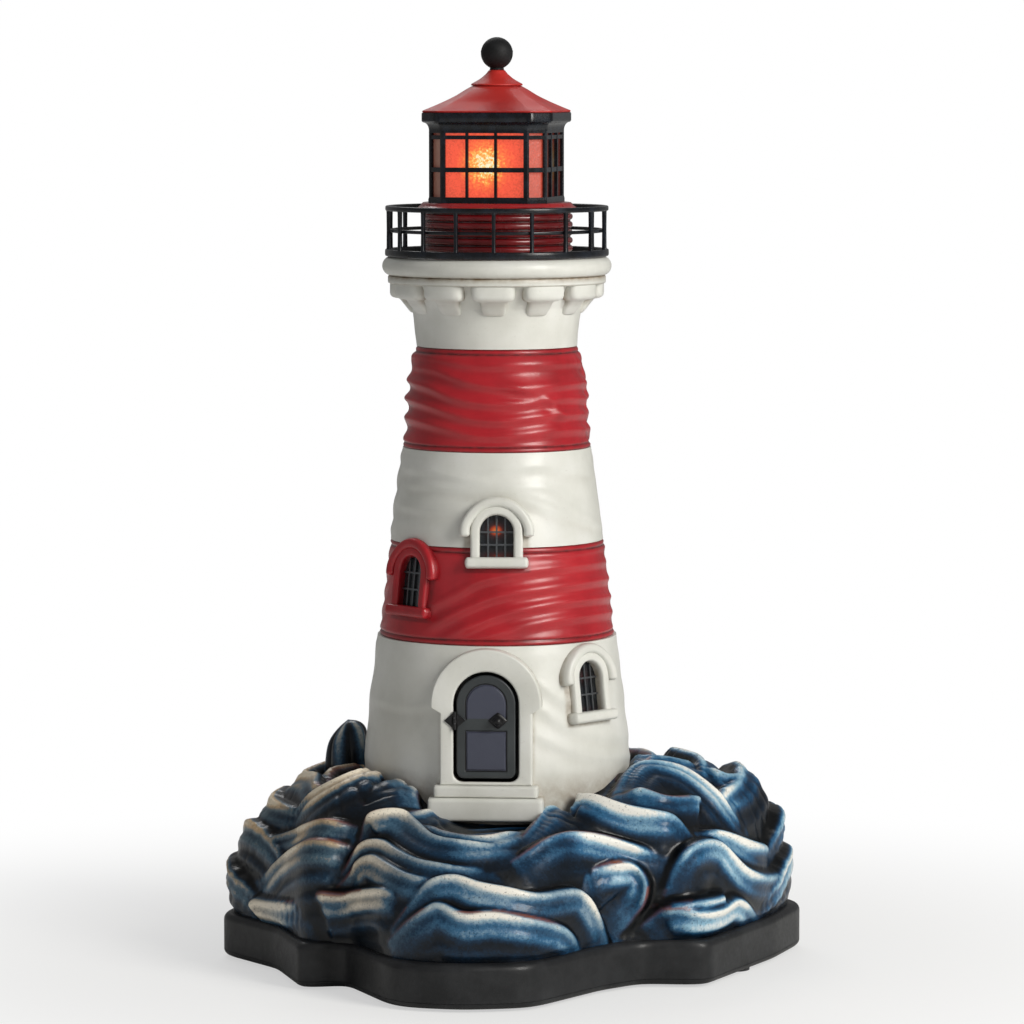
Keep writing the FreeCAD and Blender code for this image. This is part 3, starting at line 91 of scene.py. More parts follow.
# %% [markdown]
# ## Surfaces from arrays
# A moulded shape is a grid of points: rows go up or along, columns go round. One function joins
# the grid into four-sided faces, one makes the piece, and one joins doubled points where a grid
# closes to a pole.
#
# %% Grid and piece


def grid_faces(rows, columns, ring=True, loop=False):
    """Cell (i, j) joins points (i, j), (i, j+1), (i+1, j+1) and (i+1, j); ring and loop wrap round."""
    i, j = np.meshgrid(np.arange(rows if loop else rows - 1),
                       np.arange(columns if ring else columns - 1), indexing="ij")
    i2 = (i + 1) % rows
    j2 = (j + 1) % columns
    corners = [i * columns + j, i * columns + j2, i2 * columns + j2, i2 * columns + j]
    return np.stack(corners, axis=-1).reshape(-1, 4)


def make_mesh(name, points, faces, values=None):
    """Points in millimetres and four-sided faces become a mesh in metres, with point attributes."""
    mesh = bpy.data.meshes.new(name)
    mesh.vertices.add(len(points))
    mesh.vertices.foreach_set("co", (np.asarray(points) * MM).ravel())
    mesh.loops.add(faces.size)
    mesh.loops.foreach_set("vertex_index", faces.ravel())
    mesh.polygons.add(len(faces))
    mesh.polygons.foreach_set("loop_start", np.arange(0, faces.size, 4))
    mesh.update(calc_edges=True)
    for label, value in (values or {}).items():
        attribute = mesh.attributes.new(label, "FLOAT", "POINT")
        attribute.data.foreach_set("value", np.asarray(value, np.float32).ravel())
    return mesh


def weld(mesh, distance=1e-6):
    """Joins doubled points, so that a grid which closes to a point is a closed end."""
    work = bmesh.new()
    work.from_mesh(mesh)
    bmesh.ops.remove_doubles(work, verts=work.verts, dist=distance)
    bmesh.ops.dissolve_degenerate(work, edges=work.edges, dist=distance)
    work.to_mesh(mesh)
    work.free()


def make_piece(name, points, faces, material, replaces=(), body="root", values=None, poles=False,
               crease=60.0):
    """A finished piece that rides on body. poles joins the points where the grid closes to one,
    and an edge bent by more than crease degrees stays sharp."""
    mesh = make_mesh(name, points, faces, values)
    if poles:
        weld(mesh)
    mesh.shade_smooth()
    mesh.set_sharp_from_angle(angle=math.radians(crease))
    piece = bpy.data.objects.new(name, mesh)
    bpy.context.scene.collection.objects.link(piece)
    mesh.materials.append(materials[material])
    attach(piece, body)
    if replaces:
        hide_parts(*replaces)
    print(name, len(mesh.vertices), "points,", len(mesh.polygons), "faces")


def joined(parts):
    """Several (points, faces) grids as one."""
    start = 0
    points = []
    faces = []
    for part_points, part_faces in parts:
        points.append(part_points)
        faces.append(part_faces + start)
        start += len(part_points)
    return np.concatenate(points), np.concatenate(faces)


# %% [markdown]
# ## Turned and stepped shapes
# The gallery, drum, flare, cap and ball are turned: an outline goes round the tower's axis. An
# outline with round corners is a list of points that a short moving average softens.
#
# %% Turning an outline
TURN_STEPS = 256


def turn(outline, closed=True, steps=TURN_STEPS, wobble=None):
    """Point (i, j) is outline point i turned by angle j; wobble(angle, height) moves it outwards."""
    outline = np.asarray(outline, float)
    angle = np.linspace(0, 2 * np.pi, steps, endpoint=False)
    radius = np.repeat(outline[:, :1], steps, axis=1)
    height = np.repeat(outline[:, 1:], steps, axis=1)
    around = np.repeat(angle[None, :], len(outline), axis=0)
    if wobble is not None:
        radius = np.where(radius > 0, radius + wobble(around, height), radius)
    points = np.stack([AXIS_X + radius * np.cos(around), AXIS_Y + radius * np.sin(around), height], axis=-1)
    return points.reshape(-1, 3), grid_faces(len(outline), steps, loop=closed)


def rounded(outline, radius, steps=6):
    """Replaces each corner of a closed outline by a smooth curve that starts a radius before it."""
    outline = np.asarray(outline, float)
    before = np.roll(outline, 1, axis=0) - outline
    after = np.roll(outline, -1, axis=0) - outline
    reach = np.minimum(np.linalg.norm(before, axis=1), np.linalg.norm(after, axis=1)) * 0.48
    reach = np.minimum(reach, radius)[:, None]
    start = outline + before / np.linalg.norm(before, axis=1)[:, None] * reach
    end = outline + after / np.linalg.norm(after, axis=1)[:, None] * reach
    t = np.linspace(0, 1, steps)[None, :, None]
    curve = (1 - t) ** 2 * start[:, None] + 2 * t * (1 - t) * outline[:, None] + t ** 2 * end[:, None]
    return curve.reshape(-1, 2)


# %% [markdown]
# ## Gentle unevenness
# Hand-finished casts are never exact. A sum of a few waves round the tower, each closing on
# itself, with chosen phases, gives the same unevenness on every run.
#
# %% Waves round the tower


def ripples(seed, count, turns, per_mm):
    """A function of angle and height: count cosine waves with whole turns round the axis."""
    rng = np.random.default_rng(seed)
    around = rng.integers(-turns, turns + 1, count)
    upward = rng.uniform(-per_mm, per_mm, count)
    phase = rng.uniform(0, 2 * np.pi, count)

    def value(angle, height):
        waves = (np.cos(n * angle + rate * height + shift) for n, rate, shift in zip(around, upward, phase))
        return sum(waves) / math.sqrt(count)
    return value


# %% [markdown]
# ## Colours and nodes
# Colours are written as they look on a screen, and one function turns them to the linear values
# that light works in. One function adds a node with its settings and its links, and gives one of
# its outputs, so that a pattern is built up step by step.
#
# %% Colour and node helpers
materials = {}


def linear(code):
    """sRGB hex to linear: c/12.92 below 0.04045, else ((c+0.055)/1.055)^2.4."""
    parts = [int(code[i:i + 2], 16) / 255 for i in (1, 3, 5)]
    return [c / 12.92 if c <= 0.04045 else ((c + 0.055) / 1.055) ** 2.4 for c in parts] + [1.0]


def add(tree, kind, inputs=None, out=0, stops=(), **settings):
    """Adds a node and gives its output out. An input is a value or another node's output, settings
    are the node's own properties, and stops are the places and colours of a colour ramp."""
    node = tree.nodes.new("ShaderNode" + kind)
    for name, value in settings.items():
        setattr(node, name, value)
    for name, value in (inputs or {}).items():
        if isinstance(value, bpy.types.NodeSocket):
            tree.links.new(value, node.inputs[name])
        else:
            node.inputs[name].default_value = value
    for _ in stops[2:]:
        node.color_ramp.elements.new(0.5)
    for k, (place, code) in enumerate(stops):
        node.color_ramp.elements[k].position = place
        node.color_ramp.elements[k].color = linear(code)
    return node.outputs[out]


def blobs(place, size_mm, detail=3.0, roughness=0.55, distortion=0.0):
    """Noise settings that give blobs about size_mm across."""
    return {"Vector": place, "Scale": 1 / (size_mm * MM), "Detail": detail, "Roughness": roughness,
            "Distortion": distortion}


def shader(name, **sockets):
    """A new material: its tree, its principled shader and the object's own coordinates."""
    material = bpy.data.materials.new(name)
    material.use_nodes = True
    tree = material.node_tree
    surface = tree.nodes["Principled BSDF"]
    for socket, value in sockets.items():
        surface.inputs[socket.replace("_", " ")].default_value = value
    materials[name] = material
    return tree, surface, add(tree, "TexCoord", out="Object")


def wire(tree, surface, **sockets):
    """Links node outputs to the shader's sockets."""
    for socket, output in sockets.items():
        tree.links.new(output, surface.inputs[socket.replace("_", " ")])


# %% [markdown]
# ## Painted resin
# The tower is cast polyurethane resin, sprayed in satin paint. The eye reads it by soft highlights, slight
# mottling a few centimetres across, tiny specks, and darkening in grooves, hollows and where pieces meet.
# That darkening is painted shade, with some brown dirt low on the foot. It follows a point attribute, which
# the shapes below work out.
#
# %% Satin paint


def painted_resin(name, paint, lit, shade, dirt_and_shade_colour, roughness, speck=0.35, coat=0.15):
    """Three close shades by a 22 mm cloud, then dirt by fine specks, and painted shade with some dirt by a
    point attribute.
    """
    tree, surface, place = shader(name, Roughness=roughness, Coat_Weight=coat, Coat_Roughness=0.25)
    cloud = add(tree, "TexNoise", blobs(place, 22.0, 4.0))
    colour = add(tree, "ValToRGB", {"Fac": cloud}, stops=[(0.30, shade), (0.52, paint), (0.75, lit)])
    fine = add(tree, "TexNoise", blobs(place, 0.9, 2.0, 0.7))
    specks = add(tree, "ValToRGB", {"Fac": fine}, stops=[(0.66, "#000000"), (0.74, "#FFFFFF")])
    specks = add(tree, "Math", {0: specks, 1: speck}, operation="MULTIPLY")
    colour = add(tree, "Mix", {0: specks, 6: colour, 7: linear(dirt_and_shade_colour)}, out=2, data_type="RGBA")
    patchy = add(tree, "TexNoise", blobs(place, 3.5, 5.0, 0.65))
    patchy = add(tree, "Math", {0: patchy, 1: 1.9}, operation="MULTIPLY")
    # painted shade in grooves, hollows and where pieces meet, with a little dirt, from a point attribute
    shade_and_dirt = add(tree, "Attribute", out="Fac", attribute_name="shade_and_dirt")
    shade_and_dirt = add(tree, "Math", {0: shade_and_dirt, 1: patchy}, operation="MULTIPLY", use_clamp=True)
    colour = add(tree, "Mix", {0: shade_and_dirt, 6: colour, 7: linear(dirt_and_shade_colour)}, out=2, data_type="RGBA")
    uneven = add(tree, "TexNoise", blobs(place, 6.0))
    uneven = add(tree, "Math", {0: uneven, 1: 0.22, 2: roughness - 0.11}, operation="MULTIPLY_ADD")
    orange_peel = add(tree, "TexNoise", blobs(place, 3.0))
    grain = add(tree, "TexNoise", blobs(place, 0.45, 2.0))
    grain = add(tree, "Math", {0: grain, 1: 0.5, 2: orange_peel}, operation="MULTIPLY_ADD")
    relief = add(tree, "Bump", {"Height": grain, "Distance": 0.09 * MM, "Strength": 0.6})
    wire(tree, surface, Base_Color=colour, Roughness=uneven, Normal=relief)
    return tree, surface, colour


painted_resin("tower_white", "#DDDDD6", "#E6E6E1", "#D2D2CA", "#7D6440", 0.40, 0.14)
painted_resin("tower_red", "#AE1A25", "#B9232B", "#99141D", "#3A0709", 0.34, 0.20)
painted_resin("roof_red", "#B82520", "#C83028", "#9F1D1B", "#4F100F", 0.50, 0.20, 0.0)
painted_resin("drum_red", "#74080F", "#870D13", "#540509", "#140304", 0.24, 0.20, 0.5)
painted_resin("flare_red", "#9E181C", "#B2242A", "#87141A", "#2A0506", 0.30, 0.20, 0.4)
print("paints", sorted(materials))

# %% [markdown]
# ## Door paint
# The leaf is painted slate grey, and its two engraved panels a bluer grey. The panels are marked by
# a point attribute, so their edge follows the engraved lines exactly.
#
# %% Door paint
tree, surface, border = painted_resin("door_grey", "#33383A", "#3D4244", "#2C3032", "#101113", 0.46, 0.12)
panels = add(tree, "Mix", {0: 0.85, 6: border, 7: linear("#434657")}, out=2, data_type="RGBA")
inside_panel = add(tree, "Attribute", out="Fac", attribute_name="panel")
wire(tree, surface, Base_Color=add(tree, "Mix", {0: inside_panel, 6: border, 7: panels}, out=2,
                                   data_type="RGBA"))
print("door paint over", border.node.name)

# %% [markdown]
# ## Black parts
# The railing, lantern bars, ball and base are painted black too, each with its own wear: dust
# and scuffs dull the base, and the thin bars keep a harder gloss that catches the light. The
# moulded switch, the rubber feet, the lead and the cells' wrappers take the same recipe.
#
# %% Black paints


def black_paint(name, paint, worn, roughness, wear_mm, coat=0.2):
    """Paint with worn patches wear_mm across, and finer scuffs that change its gloss."""
    tree, surface, place = shader(name, Roughness=roughness, Coat_Weight=coat, Coat_Roughness=0.15,
                                  Specular_IOR_Level=0.3)
    cloud = add(tree, "TexNoise", blobs(place, wear_mm, 5.0, 0.6))
    colour = add(tree, "ValToRGB", {"Fac": cloud}, stops=[(0.42, paint), (0.72, worn)])
    scuffs = add(tree, "TexNoise", blobs(place, wear_mm / 4, 6.0, 0.7, 1.5))
    rough = add(tree, "Math", {0: scuffs, 1: 0.3, 2: roughness - 0.15}, operation="MULTIPLY_ADD")
    grain = add(tree, "TexNoise", blobs(place, 0.6))
    relief = add(tree, "Bump", {"Height": grain, "Distance": 0.06 * MM, "Strength": 0.6})
    wire(tree, surface, Base_Color=colour, Roughness=rough, Normal=relief)


black_paint("plinth_resin", "#1B1C1E", "#2C2D2F", 0.46, 14.0, 0.1)
black_paint("rail_black", "#0A0C11", "#1A202A", 0.30, 5.0, 0.2)
black_paint("frame_black", "#090B10", "#1A212B", 0.28, 4.0, 0.25)
black_paint("ball_black", "#101112", "#1C1D1F", 0.62, 4.0, 0.0)
black_paint("hinge_black", "#0C0C0E", "#1C1C1E", 0.38, 2.0)
black_paint("black_abs", "#1B1B1D", "#242427", 0.5, 8.0, 0.0)
black_paint("rubber_grey", "#38383A", "#454547", 0.8, 3.0, 0.0)
black_paint("lead_grey", "#5A5A5C", "#666668", 0.5, 4.0, 0.0)
black_paint("cell_wrap", "#3B4A5A", "#465666", 0.3, 9.0, 0.5)
print("with the blacks", len(materials), "finishes")

# %% [markdown]
# ## Metals
# Zinc-plated steel for screws, nuts and the tie, drawn brass for the lamp cap and contacts, and
# painted wire for the glazing bars. Fine scratches across the grain spread the highlight.
#
# %% Metals
SCRATCH_STRETCH = 14.0           # a scratch is this many times longer across than it is tall


def metal(name, dull_code, bright_code, roughness, scratch_mm):
    """Scratches scratch_mm long change both the colour and the gloss a little."""
    tree, surface, place = shader(name, Metallic=1.0, Roughness=roughness)
    stretched = add(tree, "Mapping", {"Vector": place, "Scale": (1.0, 1.0, SCRATCH_STRETCH)})
    scratch = add(tree, "TexNoise", blobs(stretched, scratch_mm, 4.0, 0.7))
    rough = add(tree, "Math", {0: scratch, 1: 0.25, 2: roughness - 0.12}, operation="MULTIPLY_ADD")
    colour = add(tree, "ValToRGB", {"Fac": scratch}, stops=[(0.3, dull_code), (0.7, bright_code)])
    relief = add(tree, "Bump", {"Height": scratch, "Distance": 0.01 * MM, "Strength": 0.5})
    wire(tree, surface, Base_Color=colour, Roughness=rough, Normal=relief)


metal("steel", "#9A9C9E", "#B4B6B8", 0.32, 1.2)
metal("brass", "#A5823F", "#C09C58", 0.30, 1.5)
metal("glazing_bar", "#4C4F52", "#85888C", 0.42, 1.0)
print("with the metals", len(materials), "finishes")

# %% [markdown]
# ## Lantern glass
# The panes are frosted, hammered acrylic, tinted orange-red. The lamp behind lights each pane brightest where
# it is nearest, and this light is painted on as a glow, a function of how far a point of the pane is from the
# filament: yellow-white close by, then orange, then red. The hammering is a grain of about a millimetre that
# breaks the glow up. The painted glow also falls off as a pane faces away from the front or the back. The
# panes' own colour is painted lighter and darker from the left of the lantern to its right, as painted shade
# and reflection.
#
# %% Glowing panes
filament_low, filament_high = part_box("bulb_filament")
lamp_place = Vector((AXIS_X * MM, AXIS_Y * MM, filament_high.z))
PANE_NEAR = 21.8                 # mm from the filament to the middle of a wide pane
PANE_FAR = 30.5
PANE_STRENGTH = 0.95
HAMMERED = 4.0                   # mm by which the hammering shifts the glow
GLOW = [(0.00, "#FFF8D0"), (0.03, "#FFDF80"), (0.075, "#FFA94C"), (0.15, "#FB743F"),
        (0.32, "#EA563B"), (1.00, "#C24A38")]
# painted shade and reflection on the less glowing panes, from the left of the lantern to its right
PANE_SHADE_ACROSS = [(0.0, "#A39484"), (0.5, "#94665E"), (0.88, "#94665E"), (0.96, "#241E1E")]

tree, surface, place = shader("pane_glass", Roughness=0.3, IOR=1.49, Coat_Weight=0.35,
                              Coat_Roughness=0.15)
away = add(tree, "VectorMath", {0: place, 1: lamp_place}, operation="SUBTRACT")
distance = add(tree, "VectorMath", {0: away}, out="Value", operation="LENGTH")
grain = add(tree, "TexNoise", blobs(place, 1.0, 3.0, 0.6))
centred = add(tree, "Math", {0: grain, 1: 0.5}, operation="SUBTRACT")
reached = add(tree, "Math", {0: centred, 1: HAMMERED * MM, 2: distance}, operation="MULTIPLY_ADD")
share = add(tree, "MapRange", {"Value": reached, "From Min": PANE_NEAR * MM, "From Max": PANE_FAR * MM})
glow = add(tree, "ValToRGB", {"Fac": share}, stops=GLOW)

# how far a pane faces the front or the back, squared, which sets how strongly the painted glow shows
normal = add(tree, "NewGeometry", out="True Normal")
facing = add(tree, "Math", {0: add(tree, "SeparateXYZ", {0: normal}, out="Y")}, operation="ABSOLUTE")
lit = add(tree, "MapRange", {"Value": facing, "From Min": 0.50, "From Max": 0.98})
lit = add(tree, "Math", {0: lit, 1: lit}, operation="MULTIPLY")
lit = add(tree, "Math", {0: lit, 1: 0.92, 2: 0.08}, operation="MULTIPLY_ADD")
sparkle = add(tree, "TexNoise", blobs(place, 0.7, 2.0, 0.6))
sparkle = add(tree, "MapRange", {"Value": sparkle, "From Min": 0.38, "From Max": 0.66, "To Min": 0.82,
                                 "To Max": 1.2})
power = add(tree, "Math", {0: lit, 1: PANE_STRENGTH}, operation="MULTIPLY")
power = add(tree, "Math", {0: power, 1: sparkle}, operation="MULTIPLY")

sideways = add(tree, "MapRange", {"Value": add(tree, "SeparateXYZ", {0: away}, out="X"),
                                  "From Min": -PANE_NEAR * MM, "From Max": PANE_NEAR * MM})
painted_pane_shade = add(tree, "ValToRGB", {"Fac": sideways}, stops=PANE_SHADE_ACROSS)
tint = add(tree, "Mix", {0: lit, 6: painted_pane_shade, 7: linear("#8F3324")}, out=2, data_type="RGBA")
relief = add(tree, "Bump", {"Height": grain, "Distance": 0.25 * MM, "Strength": 0.8})
wire(tree, surface, Base_Color=tint, Emission_Color=glow, Emission_Strength=power, Normal=relief)
print("lamp at", [round(v / MM, 1) for v in lamp_place], "mm")

# %% [markdown]
# ## Window glass
# The tower's windows are clear acrylic over a shadowed room. The glass is coloured near-black as painted
# shade of that room, and a little of the lamp's light is painted at their heads as a glow.
#
# %% Window glass


def window_glass(name):
    """Acrylic coloured near-black as painted shade of the room behind, with faint smears and a slightly wavy
    face.
    """
    tree, surface, place = shader(name, Roughness=0.18, IOR=1.49, Coat_Weight=0.5, Coat_Roughness=0.05)
    smears = add(tree, "TexNoise", blobs(place, 2.5, 4.0))
    colour = add(tree, "ValToRGB", {"Fac": smears}, stops=[(0.35, "#0B0D10"), (0.7, "#23272B")])
    waves = add(tree, "TexNoise", blobs(place, 2.0, 2.0))
    relief = add(tree, "Bump", {"Height": waves, "Distance": 0.1 * MM, "Strength": 0.5})
    wire(tree, surface, Base_Color=colour, Normal=relief)
    return tree, surface


window_glass("window_glass")
tree, surface = window_glass("window_lit")
glow = add(tree, "Attribute", out="Fac", attribute_name="glow")
glow = add(tree, "ValToRGB", {"Fac": glow}, stops=[(0.0, "#000000"), (0.35, "#4A1206"), (0.7, "#D9501A"),
                                                   (1.0, "#FF8A3A")])
wire(tree, surface, Emission_Color=glow)
surface.inputs["Emission Strength"].default_value = 0.55
print("window glass", surface.inputs["Emission Strength"].default_value)

# %% [markdown]
# ## Bulb
# The bulb's glass is frosted inside and glows evenly, and the filament is far brighter.
#
# %% Bulb and filament


def glowing(name, strength, size_mm, low_place, high_place, low_code, high_code, **sockets):
    """A warm light of its own, mottled between two colours."""
    tree, surface, place = shader(name, Emission_Strength=strength, **sockets)
    mottle = add(tree, "TexNoise", blobs(place, size_mm))
    warm = add(tree, "ValToRGB", {"Fac": mottle}, stops=[(low_place, low_code), (high_place, high_code)])
    wire(tree, surface, Emission_Color=warm)
    return tree, surface, warm


tree, surface, warm = glowing("bulb_glass", 2.5, 6.0, 0.3, 0.7, "#FFD27A", "#FFE9A8", Roughness=0.25,
                              IOR=1.5)
wire(tree, surface, Base_Color=warm)
glowing("filament", 6.0, 1.0, 0.2, 0.8, "#FFD98A", "#FFF3C8", Roughness=0.4)
print("with the glass", len(materials), "finishes")

# %% [markdown]
# ## Wave paint
# The mound is sprayed nearly black first, then brushed with navy, blue, pale blue and cream, each coat
# catching only the raised parts, with a thin bronze edge along the crests and a clear gloss over all. Three
# attributes of the carving drive it: a tone, which is bright just below a crest and dark in the crevices,
# brushed paint together with painted highlight and painted shade; rim, which marks the crest's very edge; and
# a share that turns the pale coats from blue to tan and duller on the side away from the key light, as
# painted shade. A grain of about a millimetre shifts the tone as a dry brush does, and fine dark specks lie
# on the blue.
#
# %% Rock paint
COOL_COATS = [(0.12, "#020406"), (0.27, "#061523"), (0.41, "#0E304C"), (0.55, "#2F6288"),
              (0.70, "#8DB4C9"), (0.86, "#F4F2EA")]
# the coats on the side away from the light, tan and duller: painted shade
SHADED_SIDE_COATS = [(0.12, "#030405"), (0.27, "#0A131C"), (0.41, "#1A3346"), (0.55, "#566C76"),
              (0.70, "#C9A97C"), (0.86, "#F8E8CC")]
DRY_BRUSH = 0.30                 # how far the millimetre grain shifts the tone
BROAD_BRUSH = 0.26               # and how far the 14 mm clouds do

tree, surface, place = shader("rock_paint", Coat_Weight=0.24, Coat_Roughness=0.14,
                              Specular_IOR_Level=0.2)
mottle = add(tree, "TexNoise", blobs(place, 1.5, 6.0, 0.75))
broad = add(tree, "TexNoise", blobs(place, 14.0))
# brushed paint, with painted highlight below the crests and painted shade in the crevices
brush_and_light_tone = add(tree, "Attribute", out="Fac", attribute_name="brush_and_light_tone")
brush_and_light_tone = add(tree, "Math", {0: mottle, 1: DRY_BRUSH, 2: brush_and_light_tone}, operation="MULTIPLY_ADD")
brush_and_light_tone = add(tree, "Math", {0: broad, 1: BROAD_BRUSH, 2: brush_and_light_tone}, operation="MULTIPLY_ADD")
brush_and_light_tone = add(tree, "Math", {0: brush_and_light_tone, 1: (DRY_BRUSH + BROAD_BRUSH) / 2}, operation="SUBTRACT")
cool = add(tree, "ValToRGB", {"Fac": brush_and_light_tone}, stops=COOL_COATS)
warm = add(tree, "ValToRGB", {"Fac": brush_and_light_tone}, stops=SHADED_SIDE_COATS)
# painted shade: the side away from the key light turns tan and duller
shaded_side_warmth = add(tree, "Attribute", out="Fac", attribute_name="shaded_side_warmth")
colour = add(tree, "Mix", {0: shaded_side_warmth, 6: cool, 7: warm}, out=2, data_type="RGBA")
specks = add(tree, "TexNoise", blobs(place, 0.8, 2.0, 0.6))
specks = add(tree, "ValToRGB", {"Fac": specks}, stops=[(0.60, "#000000"), (0.70, "#FFFFFF")])
specks = add(tree, "Math", {0: specks, 1: 0.55}, operation="MULTIPLY")
colour = add(tree, "Mix", {0: specks, 6: colour, 7: linear("#0A141F")}, out=2, data_type="RGBA")
worn = add(tree, "Math", {0: add(tree, "TexNoise", blobs(place, 9.0)), 1: 1.7}, operation="MULTIPLY")
rim = add(tree, "Attribute", out="Fac", attribute_name="rim")
bronze = add(tree, "Math", {0: rim, 1: worn}, operation="MULTIPLY", use_clamp=True)
colour = add(tree, "Mix", {0: bronze, 6: colour, 7: linear("#8A4A2A")}, out=2, data_type="RGBA")
rough = add(tree, "Math", {0: mottle, 1: 0.35, 2: 0.16}, operation="MULTIPLY_ADD")
relief = add(tree, "Bump", {"Height": mottle, "Distance": 0.20 * MM, "Strength": 0.6})
wire(tree, surface, Base_Color=colour, Roughness=rough, Normal=relief)
print("wave paint", len(tree.nodes), "nodes")

# %% [markdown]
# ## Camera
# The camera stands where the photograph was taken from, worked out from the ornament's own sizes:
# a long lens about 1.9 m away, as high as the roof, looking down by five degrees.
#
# %% Camera
FOCAL_PIXELS = 4900.0
PICTURE = 1024.0
CAMERA_PLACE = Vector((-0.0006, -1.90306, 0.346))
CAMERA_PITCH = math.radians(5.1154)
camera = bpy.data.cameras.new("camera")
camera.sensor_width = 36.0
camera.lens = FOCAL_PIXELS / PICTURE * camera.sensor_width
camera.clip_end = 50.0
camera_object = bpy.data.objects.new("camera", camera)
camera_object.location = CAMERA_PLACE
camera_object.rotation_euler = (math.pi / 2 - CAMERA_PITCH, 0, 0)
bpy.context.scene.collection.objects.link(camera_object)
bpy.context.scene.camera = camera_object


def sight(pixel_x, pixel_y):
    """The direction from the camera through a point of the 1024-pixel picture."""
    across = (pixel_x - PICTURE / 2) / FOCAL_PIXELS
    up = (PICTURE / 2 - pixel_y) / FOCAL_PIXELS
    tilt = Matrix.Rotation(math.pi / 2 - CAMERA_PITCH, 3, "X")
    return (tilt @ Vector((across, up, -1))).normalized()


print("camera", [round(v, 3) for v in CAMERA_PLACE], "lens", round(camera.lens, 1), "mm")

# %% [markdown]
# ## The mound's body
# Before it is carved the mound is a dome that follows the lobes of the base and closes round the
# tower. Its top is lower in front of the steps and climbs at both sides of the door. It could be
# sculpted by hand with a brush; worked out on a grid of angle and height, every crest stays
# editable as a short list of points.
#
# %% Dome
ROCK_COLUMNS = 840
ROCK_ROWS = 102
FLAT_ROWS = 9
ROCK_INSET = 4.0                 # from the base's edge
FOOT_SOFTEN = 47                 # columns over which the base's notches are rounded
SHOULDER = 60.0                  # radius where the dome's flat top begins
TOWER_SEAT = 51.6
# how high the carving reaches against the tower, by direction in degrees (front is -90)
TOP_LEVEL = [(-180, 70), (-158, 72), (-138, 74), (-126, 72), (-118, 64), (-108, 61), (-72, 61),
             (-62, 63), (-48, 68), (-32, 74), (-10, 76), (20, 75), (60, 70), (100, 68), (140, 69)]
# broad swellings of the dome: direction, share of the height, size in mm, lift in mm
SWELLS = [(8, 0.72, 16, 7), (-14, 0.45, 18, 3), (172, 0.35, 20, 2), (196, 0.62, 16, -3),
          (60, 0.6, 22, 4), (115, 0.5, 24, 4), (150, 0.7, 18, 3), (90, 0.25, 20, 3)]

plinth_tree = tree_of("base_plinth")
plinth_top = top("base_plinth")
rock_angle = np.linspace(-np.pi, np.pi, ROCK_COLUMNS, endpoint=False)
reach = np.array([cad_radius(plinth_tree, plinth_top - 5, a) for a in rock_angle]) - ROCK_INSET


def smooth_round(values, width):
    """A moving average round a closed ring, weighted most in the middle."""
    kernel = np.hanning(width)
    kernel = kernel / kernel.sum()
    half = width // 2
    wrapped = np.concatenate([values[-half:], values, values[:half]])
    return np.convolve(wrapped, kernel, mode="valid")[:len(values)]


foot = smooth_round(reach, FOOT_SOFTEN)
level_angle = np.radians([a for a, _ in TOP_LEVEL] + [180])
level_height = np.array([h for _, h in TOP_LEVEL] + [TOP_LEVEL[0][1]], float)
summit = smooth_round(np.interp(rock_angle, level_angle, level_height), 25)

rise = np.linspace(0, np.pi / 2, ROCK_ROWS)[:, None]
radius = SHOULDER + (foot[None, :] - SHOULDER) * np.cos(rise)
height = plinth_top + (summit[None, :] - plinth_top) * np.sin(rise)
inward = np.linspace(0, 1, FLAT_ROWS + 1)[1:, None]
radius = np.concatenate([radius, SHOULDER + (TOWER_SEAT - SHOULDER) * inward + 0 * foot[None, :]])
height = np.concatenate([height, summit[None, :] + 0 * inward])
around = np.repeat(rock_angle[None, :], len(radius), axis=0)
dome = np.stack([AXIS_X + radius * np.cos(around), AXIS_Y + radius * np.sin(around), height], axis=-1)


def grid_normals(points):
    """The cross product of the steps round and up the grid, scaled to one."""
    across = np.roll(points, -1, axis=1) - np.roll(points, 1, axis=1)
    upward = np.gradient(points, axis=0)
    normal = np.cross(across, upward)
    return normal / np.maximum(np.linalg.norm(normal, axis=-1, keepdims=True), 1e-9)


dome_normal = grid_normals(dome)
share = (height - plinth_top) / (summit[None, :] - plinth_top)
for direction, place_share, size, lift in SWELLS:
    angle = math.radians(direction)
    column = int(round((angle + np.pi) / (2 * np.pi) * ROCK_COLUMNS)) % ROCK_COLUMNS
    row = int(np.argmin(np.abs(share[:ROCK_ROWS, column] - place_share)))
    away = np.linalg.norm(dome - dome[row, column], axis=-1)
    dome = dome + dome_normal * (lift * np.exp(-(away / size) ** 2))[..., None]
dome_normal = grid_normals(dome)
print("dome", dome.shape[:2], "foot", round(foot.min(), 1), "to", round(foot.max(), 1))

